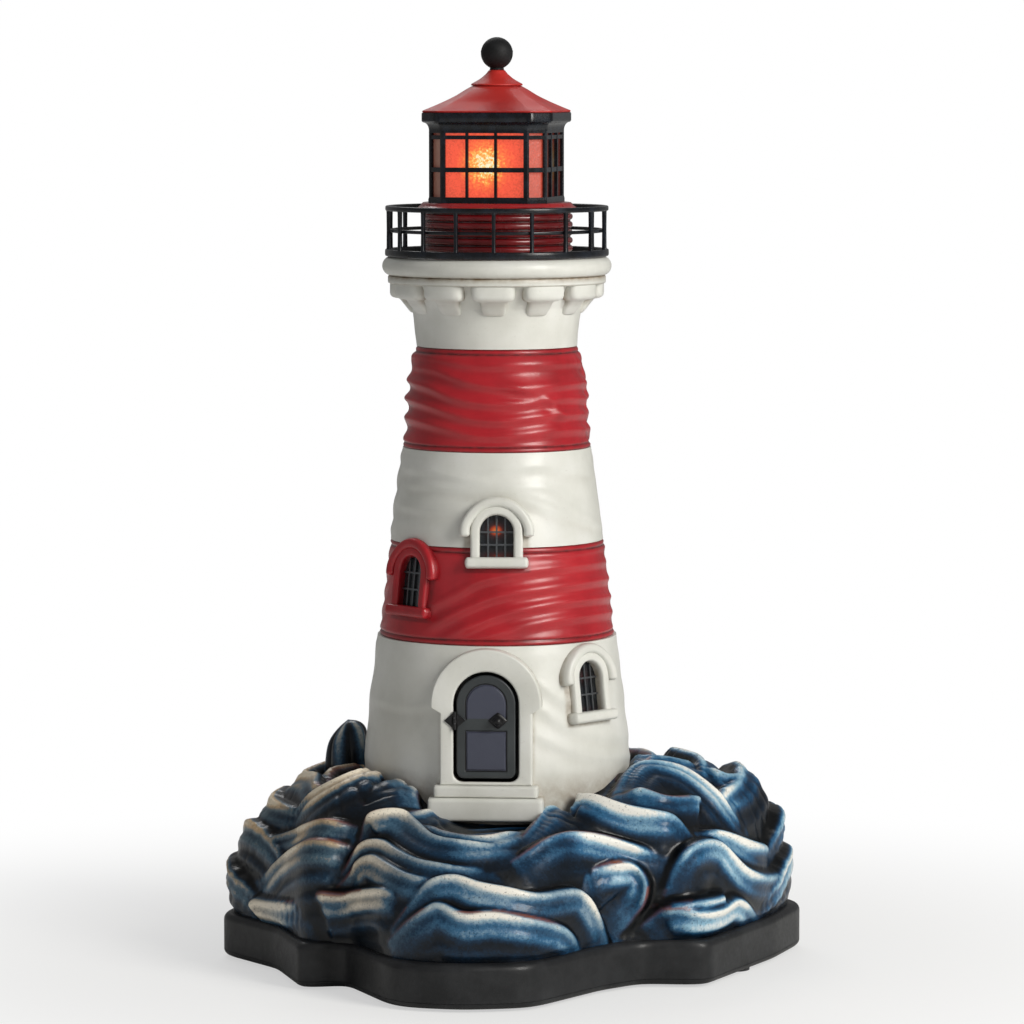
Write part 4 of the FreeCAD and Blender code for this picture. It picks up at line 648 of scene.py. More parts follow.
# %% [markdown]
# ## Crests
# Each wave is a crest line with a body that rolls down from it and dives behind the next crest.
# The crests that face the camera are drawn on the picture, as points in its 1024-pixel frame, from
# left to right, so that each can be moved by itself.
#
# %% Crest lines
# (height in mm, reach down the mound in mm, points)
FRONT_CRESTS = {
    "left_roll": (5.5, 22, [(281, 824), (310, 805), (338, 793), (364, 784), (387, 780), (402, 782),
                            (413, 790), (421, 808)]),
    "left_flow": (4.5, 20, [(258, 842), (285, 836), (310, 828), (335, 822), (356, 824)]),
    "left_tongue": (5.0, 30, [(257, 877), (281, 867), (300, 852), (319, 842), (338, 841), (356, 846)]),
    "left_foot": (4.5, 26, [(251, 909), (261, 896), (278, 898), (311, 900)]),
    "middle_roll": (5.5, 14, [(359, 838), (364, 824), (376, 817), (394, 815), (406, 820), (421, 832),
                              (436, 845), (460, 850), (488, 848), (508, 842)]),
    "middle_fold": (4.5, 12, [(336, 879), (349, 860), (364, 845), (379, 841), (394, 846), (413, 860),
                              (432, 867), (460, 869), (488, 865)]),
    "middle_tongue": (4.5, 16, [(334, 886), (353, 869), (368, 858), (381, 856), (394, 864), (413, 877),
                                (432, 881), (456, 879)]),
    "left_front": (5.0, 20, [(313, 895), (323, 890), (342, 892), (368, 889), (394, 890), (411, 897)]),
    "front_upper": (5.5, 16, [(392, 926), (409, 905), (423, 890), (437, 883), (458, 880), (479, 887),
                              (505, 891), (529, 896), (548, 892), (566, 889), (578, 895), (591, 908),
                              (602, 923), (607, 935)]),
    "front_lower": (5.0, 18, [(390, 936), (406, 922), (424, 911), (438, 904), (451, 907), (466, 914),
                              (488, 911), (515, 915), (545, 921), (560, 927), (573, 936), (582, 948)]),
    "under_steps": (3.0, 12, [(400, 811), (420, 813), (445, 818), (480, 822), (520, 820), (548, 812)]),
    "step_bowl": (3.5, 10, [(424, 824), (440, 836), (470, 842), (498, 840), (522, 831)]),
    "right_roll": (5.5, 16, [(510, 846), (529, 831), (548, 820), (572, 808), (595, 806), (623, 810),
                             (657, 816), (676, 822), (694, 837)]),
    "right_fold": (4.5, 16, [(510, 860), (533, 848), (559, 838), (589, 836), (615, 840), (642, 846),
                             (666, 853)]),
    "right_lump": (5.0, 20, [(583, 868), (604, 862), (627, 861), (642, 869), (650, 884), (645, 905),
                             (633, 922)]),
    "right_wave": (5.5, 16, [(664, 884), (670, 866), (679, 850), (694, 842), (709, 843), (721, 852),
                             (736, 866), (755, 872), (773, 870), (787, 860)]),
    "right_hollow": (4.0, 8, [(660, 902), (680, 900), (708, 896), (724, 890)]),
    "right_foot": (4.5, 16, [(648, 916), (661, 906), (680, 904), (698, 908), (716, 904), (730, 894),
                             (747, 906), (762, 920)]),
    "far_right": (4.5, 16, [(694, 831), (717, 833), (745, 843), (768, 846)]),
    "right_shoulder": (5.0, 18, [(612, 792), (623, 779), (645, 773), (672, 775), (691, 784), (706, 795),
                                 (723, 810), (743, 825)]),
    "right_inner": (3.5, 10, [(620, 794), (642, 793), (664, 801), (691, 799), (704, 809)]),
    "right_top": (4.0, 14, [(634, 764), (653, 752), (676, 758), (691, 770)]),
    "right_knob": (5.0, 18, [(698, 780), (709, 766), (728, 769), (744, 796)]),
}
print("crests in front", len(FRONT_CRESTS))

# %% [markdown]
# ## Crests carried onto the dome
# The camera's sight lines carry each drawn crest onto the dome. Near the dome's own outline they
# graze it and land far apart, so the cast line is smoothed and laid on the dome again.
#
# %% Cast crests
CAST_SOFTEN = 9


def smooth_line(points, count):
    """A smooth curve through the points: each stretch bends with its neighbours (Catmull-Rom)."""
    points = np.asarray(points, float)
    ends = np.concatenate([[2 * points[0] - points[1]], points, [2 * points[-1] - points[-2]]])
    position = np.linspace(0, len(points) - 1, count)
    k = np.minimum(position.astype(int), len(points) - 2)
    t = (position - k)[:, None]
    a, b, c, d = ends[k], ends[k + 1], ends[k + 2], ends[k + 3]
    return 0.5 * (2 * b + (c - a) * t + (2 * a - 5 * b + 4 * c - d) * t ** 2
                  + (3 * b - a - 3 * c + d) * t ** 3)


dome_faces = grid_faces(*dome.shape[:2])
dome_tree = BVHTree.FromPolygons([Vector(p) for p in dome.reshape(-1, 3)], dome_faces.tolist())
eye = CAMERA_PLACE / MM


def on_dome(pixel):
    """Where a sight line meets the dome, or the nearest place if it just misses."""
    direction = sight(*pixel)
    hit, normal = dome_tree.ray_cast(eye, direction)[:2]
    if hit is None:
        middle = eye + direction * ((AXIS_Y - eye.y) / direction.y)
        hit, normal = dome_tree.find_nearest(middle)[:2]
    return hit, normal


kernel = np.hanning(CAST_SOFTEN + 2)[1:-1]
kernel = kernel / kernel.sum()
crests = []
for size, length, points in FRONT_CRESTS.values():
    cast = np.array([on_dome(p)[0] for p in smooth_line(points, 6 * len(points))])
    padded = np.concatenate([cast[:1].repeat(CAST_SOFTEN // 2, axis=0), cast,
                             cast[-1:].repeat(CAST_SOFTEN // 2, axis=0)])
    cast = np.stack([np.convolve(padded[:, k], kernel, mode="valid") for k in range(3)], axis=-1)
    line = [dome_tree.find_nearest(Vector(p))[:2] for p in cast]
    crests.append((size, length, np.array([p for p, _ in line]), np.array([n for _, n in line])))
print("cast", len(crests), "crests of", sum(len(line) for _, _, line, _ in crests), "points")

# %% [markdown]
# ## Crests round the back
# The photograph doesn't show the back, so its crests go by rule: five tiers of arches, each arch a
# little longer than its share of the circle, so that it overlaps its neighbours.
#
# %% Back crests
# share of the way up, count round the back, reach in mm
BACK_TIERS = [(0.20, 5, 20), (0.43, 6, 20), (0.66, 5, 18), (0.90, 6, 16), (1.10, 4, 12)]
BACK_FROM = math.radians(-10)
BACK_TO = math.radians(192)
ARCH_RISE = 0.13                 # share of the mound's height

rng = np.random.default_rng(7)
for tier, (tier_share, count, length) in enumerate(BACK_TIERS):
    for k in range(count):
        span = (BACK_TO - BACK_FROM) / count
        middle = BACK_FROM + span * (k + 0.5 + 0.35 * (tier % 2)) + rng.uniform(-0.08, 0.08)
        width = span * rng.uniform(0.56, 0.66)
        slant = rng.uniform(-0.06, 0.06)
        t = np.linspace(-1, 1, 30)
        arch = ARCH_RISE * (1 - t ** 2) - 0.06 + slant * t + 0.025 * np.sin(4.5 * t + rng.uniform(0, 6))
        turned = (middle + width * t + np.pi) / (2 * np.pi)
        columns = np.round(turned * ROCK_COLUMNS).astype(int) % ROCK_COLUMNS
        rows = np.clip((tier_share + arch) * ROCK_ROWS * 0.88, 2, ROCK_ROWS + 5).astype(int)
        size = rng.uniform(4.4, 5.8)
        crests.append((size, length, dome[rows, columns], dome_normal[rows, columns]))
print("crests", len(crests))

# %% [markdown]
# ## Carving
# For each crest, s is how far a point lies below it along the surface. The body of the wave rises steeply
# within four millimetres at the crest, then falls away over its reach, with a few soft flow lines parallel to
# the crest. The mound takes the highest wave at each point, so every crest stands in front of a dark crevice.
# The same s gives the tone, which is brushed paint together with painted highlight and painted shade: a
# bright band just below the crest that comes and goes along it, then blue, then navy further down, and
# darkest in the crevice above the crest.
#
# %% Carve the waves
FLOW_SPACING = 6.8
FLOW_DEPTH = 0.62
CREVICE = -2.6
CREST_EDGE = (-1.2, 2.8)         # mm over which a crest rises
END_FADE = 5.0                   # mm past a crest's end over which it sinks
END_TAPER = 0.24                 # share of its length over which a crest grows to full height
CREST_GAIN = 1.2
FALL_FROM = 2.2                  # mm below the crest where its body begins to fall
FALL_POWER = 0.85
BRIGHT = (3.2, 1.5, 5.8)         # the bright band, brushed paint with painted highlight: its place, and how fast it fades up and down
BRONZE = (1.3, 0.65)             # the bronze edge: its place and half width


def smoothstep(low_value, high_value, value):
    """x^2 (3 - 2x), where x runs from 0 at the first edge to 1 at the second."""
    t = np.clip((value - low_value) / (high_value - low_value), 0, 1)
    return t * t * (3 - 2 * t)


flat = dome.reshape(-1, 3)
angle_flat = around.reshape(-1)
drift = ripples(3, 7, 9, 0.12)(angle_flat, flat[:, 2])
patches = smoothstep(-1.2, 1.0, ripples(17, 8, 16, 0.16)(angle_flat, flat[:, 2]))
swirl = np.cos(2 * np.pi * (np.hypot(flat[:, 0] - AXIS_X, flat[:, 1] - AXIS_Y) - flat[:, 2]) / 9.0
               + 1.9 * drift)
carved = CREVICE + 0.9 + 0.9 * swirl
rim = np.zeros(len(flat))
brush_and_light_tone = 0.27 + 0.16 * swirl
for size, length, line, normal in crests:
    tangent = np.gradient(line, axis=0)
    tangent /= np.maximum(np.linalg.norm(tangent, axis=1, keepdims=True), 1e-9)
    below = np.cross(tangent, normal)
    below /= np.maximum(np.linalg.norm(below, axis=1, keepdims=True), 1e-9)
    centre = line.mean(axis=0)
    extent = np.linalg.norm(line - centre, axis=1).max() + length + 12
    near = np.flatnonzero(np.linalg.norm(flat - centre, axis=1) < extent)
    gap = flat[near, None, :] - line[None, :, :]
    nearest = (gap ** 2).sum(axis=-1).argmin(axis=1)
    step = gap[np.arange(len(near)), nearest]
    s = (step * below[nearest]).sum(axis=1)
    past = np.maximum(np.abs((step * tangent[nearest]).sum(axis=1)) - 1.0, 0)
    along = nearest / (len(line) - 1)
    taper = 0.15 + 0.85 * smoothstep(0, END_TAPER, np.minimum(along, 1 - along))
    fade = np.exp(-(past / END_FADE) ** 2)
    hold = fade * taper
    shifted = np.maximum(s + 0.9 * drift[near] * smoothstep(0, 6, s) - 1.6, 0)
    climb = np.clip((s - CREST_EDGE[0]) / (CREST_EDGE[1] - CREST_EDGE[0]), 0, 1)
    fall = np.clip(1 - (np.maximum(s - FALL_FROM, 0) / length) ** FALL_POWER, -0.6, 1)
    body = np.sin(np.pi / 2 * climb) ** 0.75 * fall
    flow = np.cos(2 * np.pi * shifted / FLOW_SPACING) * smoothstep(1.0, 4.0, s)
    flow = flow * np.clip(1.25 - s / length, 0, 1)
    wave = CREST_GAIN * size * hold * body + FLOW_DEPTH * hold * flow
    wave = np.where(s < CREST_EDGE[0], 2 * CREVICE, wave - 1.4 * (1 - fade))
    # the bright band below the crest is brushed paint and painted highlight; darker further down the body and
    # in the crevice above the crest is painted shade
    band = np.exp(-((s - BRIGHT[0]) / np.where(s < BRIGHT[0], BRIGHT[1], BRIGHT[2])) ** 2)
    bright = 0.47 + 0.46 * hold * band * (0.25 + 0.75 * patches[near])
    bright = bright + 0.13 * hold * flow * (0.4 + 0.6 * patches[near]) - 0.26 * np.clip(s / length, 0, 1.2)
    bright = bright - 0.75 * (1 - smoothstep(CREST_EDGE[0], 1.3, s))
    stronger = wave > carved[near]
    carved[near] = np.where(stronger, wave, carved[near])
    brush_and_light_tone[near] = np.where(stronger, bright, brush_and_light_tone[near])
    edge = np.exp(-((s - BRONZE[0]) / BRONZE[1]) ** 2) * hold
    rim[near] = np.where(stronger, edge, rim[near] * (1 - fade * smoothstep(-3, 0, s)))
carved, rim, brush_and_light_tone = (values.reshape(dome.shape[:2]) for values in (carved, rim, brush_and_light_tone))
print("bright", round(float((brush_and_light_tone > 0.7).mean()), 2), "of the mound")

# %% [markdown]
# ## From relief to surface
# The relief is softened a little, sinks to about a third where the mound meets the base and the tower, and
# then moves each point of the dome along its normal. What stands out from its surroundings catches more of
# the brush and is painted lighter, partly as painted highlight, so the tone follows the fine relief too. The
# left side of the mound, away from the key light, is painted warmer and duller as painted shade.
#
# %% Surface and tone
SETTLE = 3.5                     # mm above the base over which the relief grows


def soften(values, rows_wide, columns_wide):
    """Moving averages, first round the grid, which is closed, and then up it, which is not."""
    for width, padding in ((columns_wide, "wrap"), (rows_wide, "edge")):
        kernel = np.hanning(width + 2)[1:-1]
        kernel /= kernel.sum()
        padded = np.pad(values.T, ((width // 2, width // 2), (0, 0)), mode=padding)
        values = sum(kernel[k] * padded[k:k + values.shape[1]] for k in range(width))
    return values


carved = soften(carved, 3, 3)
settle = smoothstep(0, SETTLE, height - plinth_top)
against = smoothstep(TOWER_SEAT - 0.2, TOWER_SEAT + 3, radius)
carved = carved * (0.35 + 0.65 * settle) * (0.3 + 0.7 * against)
rock = dome + dome_normal * carved[..., None]
rock[0, :, 2] = plinth_top - 0.2
fine_relief = carved - soften(carved, 9, 7)
broad_relief = carved - soften(carved, 25, 23)
brush_and_light_tone = soften(brush_and_light_tone, 3, 3) + 0.14 * np.clip(fine_relief, -2, 1.0) + 0.03 * np.clip(broad_relief, -6, 4)
brush_and_light_tone = np.clip(brush_and_light_tone, 0, 1)
side = (dome[..., 0] - AXIS_X) / 110
# painted shade: warmer on the left, away from the key light, with some random variation
shaded_side_warmth = np.clip(0.20 - 0.74 * side + 0.30 * ripples(11, 6, 7, 0.09)(around, height), 0, 1)
print("carving", round(float(carved.min()), 2), "to", round(float(carved.max()), 2), "mm")

# %% [markdown]
# ## Closing the mound
# Below and behind the carving the cast has a plain wall against the tower and a flat underside on
# the base, so the mesh is one closed body.
#
# %% The mound
inner_radius = TOWER_SEAT + 0.6
wall_levels = np.array([0.75, 0.4, 0.0])
wall = np.stack([np.broadcast_to(AXIS_X + inner_radius * np.cos(rock_angle), (3, ROCK_COLUMNS)),
                 np.broadcast_to(AXIS_Y + inner_radius * np.sin(rock_angle), (3, ROCK_COLUMNS)),
                 plinth_top + 0.05 + (summit[None, :] - plinth_top) * wall_levels[:, None]], axis=-1)
mound = np.concatenate([rock, wall])
unseen = np.zeros((3, ROCK_COLUMNS))
make_piece("rock_waves", mound.reshape(-1, 3), grid_faces(*mound.shape[:2], loop=True), "rock_paint",
           replaces=["rock_mound"], crease=75,
           values={label: np.concatenate([value, unseen])
                   for label, value in (("brush_and_light_tone", brush_and_light_tone), ("rim", rim), ("shaded_side_warmth", shaded_side_warmth))})

# %% [markdown]
# ## The tall rock
# Left of the tower a separate stone stands up. It is broad and blunt, with a few rounded ribs that
# run down its face and a lower shoulder on its left.
#
# %% Tall rock
TALL_RIBS = 5
TALL_HALF_WIDTH = 8.6
tall_low, tall_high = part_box("tall_rock")
tall_x = (tall_low.x + tall_high.x) / 2 / MM
tall_y = (tall_low.y + tall_high.y) / 2 / MM
spin = np.linspace(0, 2 * np.pi, 240, endpoint=False)[None, :]
climb = np.linspace(0, 1, 96)[:, None]
ribs = np.abs(np.cos(TALL_RIBS / 2 * (spin + 0.35 * climb + 0.5))) ** 0.8
left_side = 0.5 - 0.5 * np.cos(spin)
blunt = np.clip(1 - climb ** (16 - 8 * left_side), 0, 1) ** 0.5
girth = TALL_HALF_WIDTH * blunt * (1.08 - 0.12 * climb) * (0.84 + 0.16 * ribs)
tall_height = tall_low.z / MM + (top("tall_rock") + 1.5 - tall_low.z / MM) * climb
tall_height = tall_height - 6.0 * left_side * climb ** 4 * (girth / TALL_HALF_WIDTH)
tall = np.stack([tall_x + 1.0 * climb + girth * np.cos(spin), tall_y + girth * np.sin(spin), tall_height],
                axis=-1)
under = np.stack([tall_x + 0 * spin, tall_y + 0 * spin, tall_low.z / MM + 0 * spin], axis=-1)
tall = np.concatenate([under, tall])
# brushed paint with painted highlight on the ribs and towards the top
tall_brush_and_light_tone = np.concatenate([0 * spin, 0.16 + 0.50 * ribs ** 3 * (0.4 + 0.6 * climb) + 0.10 * climb ** 4])
# on the side away from the light, its coats go halfway to the shaded side's, as painted shade
make_piece("tall_rock_ribbed", tall.reshape(-1, 3), grid_faces(*tall.shape[:2]), "rock_paint",
           replaces=["tall_rock"], poles=True, crease=75, values={
               "brush_and_light_tone": tall_brush_and_light_tone, "rim": np.zeros(tall.shape[:2]), "shaded_side_warmth": np.full(tall.shape[:2], 0.45)})

# %% [markdown]
# ## The base
# The base is a thick lobed slab, cast hollow underneath for the batteries. Its outline is read from
# the measured slab by rays in a full turn, then the edges are rolled over at the top and bottom.
#
# %% Base slab
BASE_COLUMNS = 900
TOP_ROLL = 3.0
BOTTOM_ROLL = 2.4
plinth_low = low("base_plinth")
base_angle = np.linspace(-np.pi, np.pi, BASE_COLUMNS, endpoint=False)
outline = np.array([cad_radius(plinth_tree, (plinth_low + plinth_top) / 2, a) for a in base_angle])
outline = smooth_round(outline, 25)


def cavity_reach(angle):
    """From inside the hollow to its wall."""
    start = Vector((AXIS_X, AXIS_Y, plinth_low + 1.0))
    hit = plinth_tree.ray_cast(start, Vector((math.cos(angle), math.sin(angle), 0)))[0]
    return (hit - start).length


cavity = np.array([cavity_reach(a) for a in base_angle])
quarter = np.linspace(0, np.pi / 2, 7)
base_rows = [(cavity, plinth_top)]
base_rows += [(outline - TOP_ROLL * (1 - np.sin(q)), plinth_top - TOP_ROLL * (1 - np.cos(q)))
              for q in quarter]
base_rows += [(outline, plinth_top + (plinth_low - plinth_top) * k / 8) for k in range(2, 8)]
base_rows += [(outline - BOTTOM_ROLL * (1 - np.cos(q)), plinth_low + BOTTOM_ROLL * (1 - np.sin(q)))
              for q in quarter]
base_rows += [(cavity, plinth_low)]
base = np.stack([np.stack([AXIS_X + r * np.cos(base_angle), AXIS_Y + r * np.sin(base_angle),
                           z + 0 * r], axis=-1) for r, z in base_rows])
make_piece("base_slab", base.reshape(-1, 3), grid_faces(*base.shape[:2], loop=True)[:, ::-1],
           "plinth_resin", replaces=["base_plinth"], crease=50)

# %% [markdown]
# ## Fold lines
# Each band of the tower is a cast tube with hand-modelled folds that run nearly level, as if cloth
# were drawn round it: deeper in the red, faint in the white. The folds that face the camera are
# drawn on its picture, from left to right, so that each can be moved by itself.
#
# %% Fold lines
# (height in mm, points)
UPPER_FOLDS = {
    "first": (0.8, [(408, 352), (440, 358), (480, 365), (530, 364), (587, 361)]),
    "second": (1.0, [(408, 364), (436, 369), (465, 380), (500, 387), (540, 387), (588, 381)]),
    "third": (1.1, [(408, 380), (430, 387), (456, 398), (492, 403), (530, 402), (560, 397), (589, 397)]),
    "fourth": (1.0, [(408, 398), (430, 405), (468, 417), (502, 420), (545, 415), (590, 412)]),
    "fifth": (0.8, [(408, 417), (440, 426), (480, 435), (520, 434), (560, 429), (590, 428)]),
    "hook": (0.6, [(524, 391), (545, 397), (556, 407)]),
}
WHITE_FOLDS = {
    "first": (0.45, [(410, 468), (440, 473), (470, 480), (505, 486), (542, 487)]),
    "second": (0.5, [(418, 484), (450, 487), (480, 490), (515, 493), (550, 500), (582, 515)]),
    "third": (0.4, [(505, 470), (540, 466), (585, 469)]),
    "fourth": (0.4, [(535, 505), (560, 514), (595, 522)]),
    "fifth": (0.35, [(404, 505), (430, 510), (455, 509)]),
}
LOWER_FOLDS = {
    "first": (0.9, [(440, 602), (460, 592), (482, 580), (528, 571), (565, 566), (603, 561)]),
    "second": (1.1, [(448, 617), (470, 606), (500, 595), (545, 588), (575, 583), (606, 578)]),
    "third": (1.1, [(470, 626), (495, 616), (522, 609), (565, 601), (608, 596)]),
    "fourth": (0.8, [(498, 632), (530, 624), (562, 618), (611, 611)]),
    "fifth": (0.5, [(545, 552), (575, 551), (604, 545)]),
}
FOOT_FOLDS = {
    "first": (0.35, [(548, 690), (562, 699), (585, 706)]),
    "second": (0.32, [(545, 712), (570, 728), (600, 735), (631, 736)]),
    "third": (0.30, [(546, 740), (575, 752), (605, 757), (633, 755)]),
    "fourth": (0.3, [(380, 700), (405, 706), (430, 705)]),
}
print("folds", [len(folds) for folds in (UPPER_FOLDS, WHITE_FOLDS, LOWER_FOLDS, FOOT_FOLDS)])

# %% [markdown]
# ## From a line to a fold
# A drawn line is carried onto the band by the camera's sight lines. The wall is then unrolled flat,
# and a point's distance s below the line gives the relief there: a rounded ridge on the line, a
# hollow under it and a soft shoulder above it.
#
# %% Drawn folds
RIDGE_HALF = 1.9                 # mm
HOLLOW = (3.8, 2.2, 0.6)         # how far below the ridge, its half width, its share of the depth
SHOULDER_FOLD = (-3.0, 2.4, 0.25)
FOLD_END_FADE = 7.0
tower_trees = {name: tree_of(name) for name in
               ("tower_foot", "band_red_lower", "band_white", "band_red_upper", "tower_neck")}


def outside_of(name, heights, angle=math.radians(90)):
    """The plain outside of a band, measured up its back."""
    return np.array([cad_radius(tower_trees[name], z, angle) for z in heights])


def drawn_folds(name, folds, a, h):
    """Sum over the lines of depth * (ridge - hollow + shoulder) * the fade past the line's ends."""
    mean = outside_of(name, [(low(name) + top(name)) / 2])[0]
    total = np.zeros_like(h)
    for depth, points in folds.values():
        hits = [tower_trees[name].ray_cast(eye, sight(*p))[0] for p in smooth_line(points, 10 * len(points))]
        line = np.array([(mean * math.atan2(p.y - AXIS_Y, p.x - AXIS_X), p.z) for p in hits if p is not None])
        tangent = np.gradient(line, axis=0)
        tangent /= np.linalg.norm(tangent, axis=1, keepdims=True)
        gap = np.stack([mean * a, h], axis=-1)[..., None, :] - line
        nearest = (gap ** 2).sum(axis=-1).argmin(axis=-1)
        step = np.take_along_axis(gap, nearest[..., None, None], axis=2)[..., 0, :]
        t = tangent[nearest]
        s = step[..., 0] * t[..., 1] - step[..., 1] * t[..., 0]
        past = np.maximum(np.abs((step * t).sum(axis=-1)) - 0.6, 0)
        relief = np.exp(-(s / RIDGE_HALF) ** 2)
        relief = relief - HOLLOW[2] * np.exp(-((s - HOLLOW[0]) / HOLLOW[1]) ** 2)
        relief = relief + SHOULDER_FOLD[2] * np.exp(-((s - SHOULDER_FOLD[0]) / SHOULDER_FOLD[1]) ** 2)
        total = total + depth * relief * np.exp(-(past / FOLD_END_FADE) ** 2)
    return total


# %% [markdown]
# ## Holes in a wall
# Where a window or the door goes through, the cells of the grid are left out, and the wall's
# thickness is closed by faces between the outer and the inner skin. A boolean cut would do it too,
# but it spoils the even grid that carries the folds.
#
# %% Openings and wall
BAND_COLUMNS = 540
FRAME_REACH = 3.6                # mm from an opening's edge to its frame's outer edge
FRAME_SHADE_REACH = 1.0                 # mm beside a frame over which painted shade darkens the wall


def cut_openings(a, h, plain, openings):
    """Which cells stay, and how close each point is to a frame for the painted shade beside it: 1 beside it,
    fading over the frame's shade reach.
    """
    keep = np.ones((len(h) - 1, BAND_COLUMNS), bool)
    beside = np.zeros_like(h)
    cell_a = a[:-1] + np.pi / BAND_COLUMNS
    cell_h = (h[:-1] + h[1:]) / 2
    for turn_deg, half, foot_z, head_z in openings:
        direction = math.radians(turn_deg - 90)
        spring = head_z - half
        across = (cell_a - direction) * plain[:-1, None]
        straight = (np.abs(across) < half) & (cell_h > foot_z) & (cell_h < spring)
        arched = (across ** 2 + (cell_h - spring) ** 2 < half ** 2) & (cell_h >= spring)
        keep &= ~(straight | arched)
        across = (a - direction) * plain[:, None]
        outside = np.where(h < spring, np.abs(across), np.hypot(across, h - spring)) - half - FRAME_REACH
        near = np.exp(-(np.maximum(outside, 0) / FRAME_SHADE_REACH) ** 2) * (h > foot_z - 4)
        beside = np.maximum(beside, near)
    return keep, beside


def closed_wall(out, inner, a, h, keep):
    """An outer and an inner skin of the kept cells, joined round each edge of the kept part.

    Gives its points, its faces, and which of the two skins' points it uses."""
    skins = [np.stack([AXIS_X + r * np.cos(a), AXIS_Y + r * np.sin(a), h], axis=-1).reshape(-1, 3)
             for r in (out, inner)]
    index = np.arange(h.size).reshape(h.shape)
    right = np.roll(index, -1, axis=1)
    outer_faces = np.stack([index[:-1], right[:-1], right[1:], index[1:]], axis=-1)[keep]
    faces = [outer_faces, outer_faces[:, ::-1] + h.size]
    none = np.zeros((1, BAND_COLUMNS), bool)
    above = np.concatenate([keep, none])
    below = np.concatenate([none, keep])
    left = np.roll(keep, 1, axis=1)
    for mask, start, end, flip in ((above & ~below, right, index, False),
                                   (below & ~above, right, index, True),
                                   (keep & ~left, index[:-1], index[1:], False),
                                   (left & ~keep, index[:-1], index[1:], True)):
        p, q = start[mask], end[mask]
        quad = np.stack([p, q, q + h.size, p + h.size], axis=-1)
        faces.append(quad[:, ::-1] if flip else quad)
    faces = np.concatenate(faces)
    used = np.zeros(2 * h.size, bool)
    used[faces.ravel()] = True
    return np.concatenate(skins)[used], (np.cumsum(used) - 1)[faces], used


# %% [markdown]
# ## Tower bands
# Round the back the folds go by rule: a fold's phase grows with height and drifts slowly round the tower, and
# its depth fades in and out. The joints between bands carry two fine grooves, darkened as painted shade, as
# are the folds' hollows and the wall beside the frames.
#
# %% Band surface
BAND_PITCH = 0.5                 # mm between rows
BAND_MOST_ROWS = 82
JOINT_GROOVE = 0.5
JOINT_FADE = 4.5                 # mm from a joint over which the folds fade in
WALL = 3.0
SPLASH = (70.0, 82.0)            # dirt fades out between these heights above the waves


def tower_band(name, material, depth, spacing, seed, openings, bulge=0.0, grooves=True, drawn=None):
    """radius = plain radius + depth * fold(angle, height) + bulge, thinned at the joints' grooves."""
    z0 = low(name)
    z1 = top(name)
    rows = min(int((z1 - z0) / BAND_PITCH), BAND_MOST_ROWS)
    z = np.linspace(z0, z1, rows)
    plain = outside_of(name, np.clip(z, z0 + 0.05, z1 - 0.05))
    a, h = np.meshgrid(np.linspace(-np.pi, np.pi, BAND_COLUMNS, endpoint=False), z)
    warp = ripples(seed, 5, 3, 0.035)(a, h)
    strength = np.clip(0.55 + 0.6 * ripples(seed + 1, 6, 4, 0.07)(a, h), 0, 1.3)
    fold = 0.5 * np.cos(2 * np.pi * (h / spacing + 0.75 * warp + 0.9 * np.sin(a + 0.7)))
    by_rule = 1 - smoothstep(0.05, 0.45, -np.sin(a)) if drawn else 1.0
    folds = depth * strength * fold * by_rule
    if drawn:
        folds = folds + drawn_folds(name, drawn, a, h)
    swell = bulge * ripples(seed + 2, 4, 2, 0.05)(a, h)
    ends = smoothstep(0, JOINT_FADE, h - z0) * smoothstep(0, JOINT_FADE, z1 - h)
    groove = np.zeros_like(h)
    if grooves:
        for centre, half in ((z0, 0.55), (z1, 0.55), (z1 - 2.0, 0.5), (z0 + 1.9, 0.45)):
            groove = groove + np.exp(-((h - centre) / half) ** 2)
    out = plain[:, None] + ends * (folds + swell) - JOINT_GROOVE * groove
    inner = np.maximum(plain - WALL, 1)[:, None] + 0 * out
    keep, beside = cut_openings(a, h, plain, openings)
    # painted shade in the joint grooves, in the folds' hollows and beside the frames, and dirt low down near
    # the waves
    shade_and_dirt = np.maximum(0.85 * groove + 0.22 * np.clip(-folds, 0, 1) * ends, 0.45 * beside)
    shade_and_dirt = np.maximum(shade_and_dirt, 0.42 * smoothstep(SPLASH[1], SPLASH[0], h))
    points, faces, used = closed_wall(out, inner, a, h, keep)
    values = np.concatenate([shade_and_dirt.ravel(), np.zeros(h.size)])[used]
    make_piece(name + "_modelled", points, faces, material, replaces=[name], values={"shade_and_dirt": values},
               crease=55)


# %% [markdown]
# ## Openings in the wall
# The windows and the door are set out as on the measured model: a direction round the tower in
# degrees from the front, half the opening's width, its foot and its head. A millimetre or so is
# added for the frame that plugs the hole.
#
# %% Bands and foot
OPENING_HALF = 6.55
RED_JOINT = low("band_white")
FOOT_JOINT = top("tower_foot")
WINDOWS = {
    "front": (0.0, RED_JOINT - 3.6, RED_JOINT + 12.7),
    "left": (-50.0, FOOT_JOINT + 13.7, FOOT_JOINT + 33.0),
    "right": (46.5, FOOT_JOINT - 26.3, FOOT_JOINT - 7.0),
}
DOOR_TURN = -4.5
leaf_low, leaf_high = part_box("door_leaf")
LEAF_LOW = leaf_low.z / MM
LEAF_TOP = leaf_high.z / MM
LEAF_HALF = 11.25
REVEAL = 1.3
window_holes = [(turn_deg, OPENING_HALF + 1.6, foot_z - 1.6, head_z + 1.6)
                for turn_deg, foot_z, head_z in WINDOWS.values()]
door_hole = (DOOR_TURN, LEAF_HALF + REVEAL + 1.5, LEAF_LOW - 1.5, LEAF_TOP + REVEAL + 1.5)
tower_band("tower_foot", "tower_white", 0.4, 17.0, 21, window_holes + [door_hole], 0.2, False, FOOT_FOLDS)
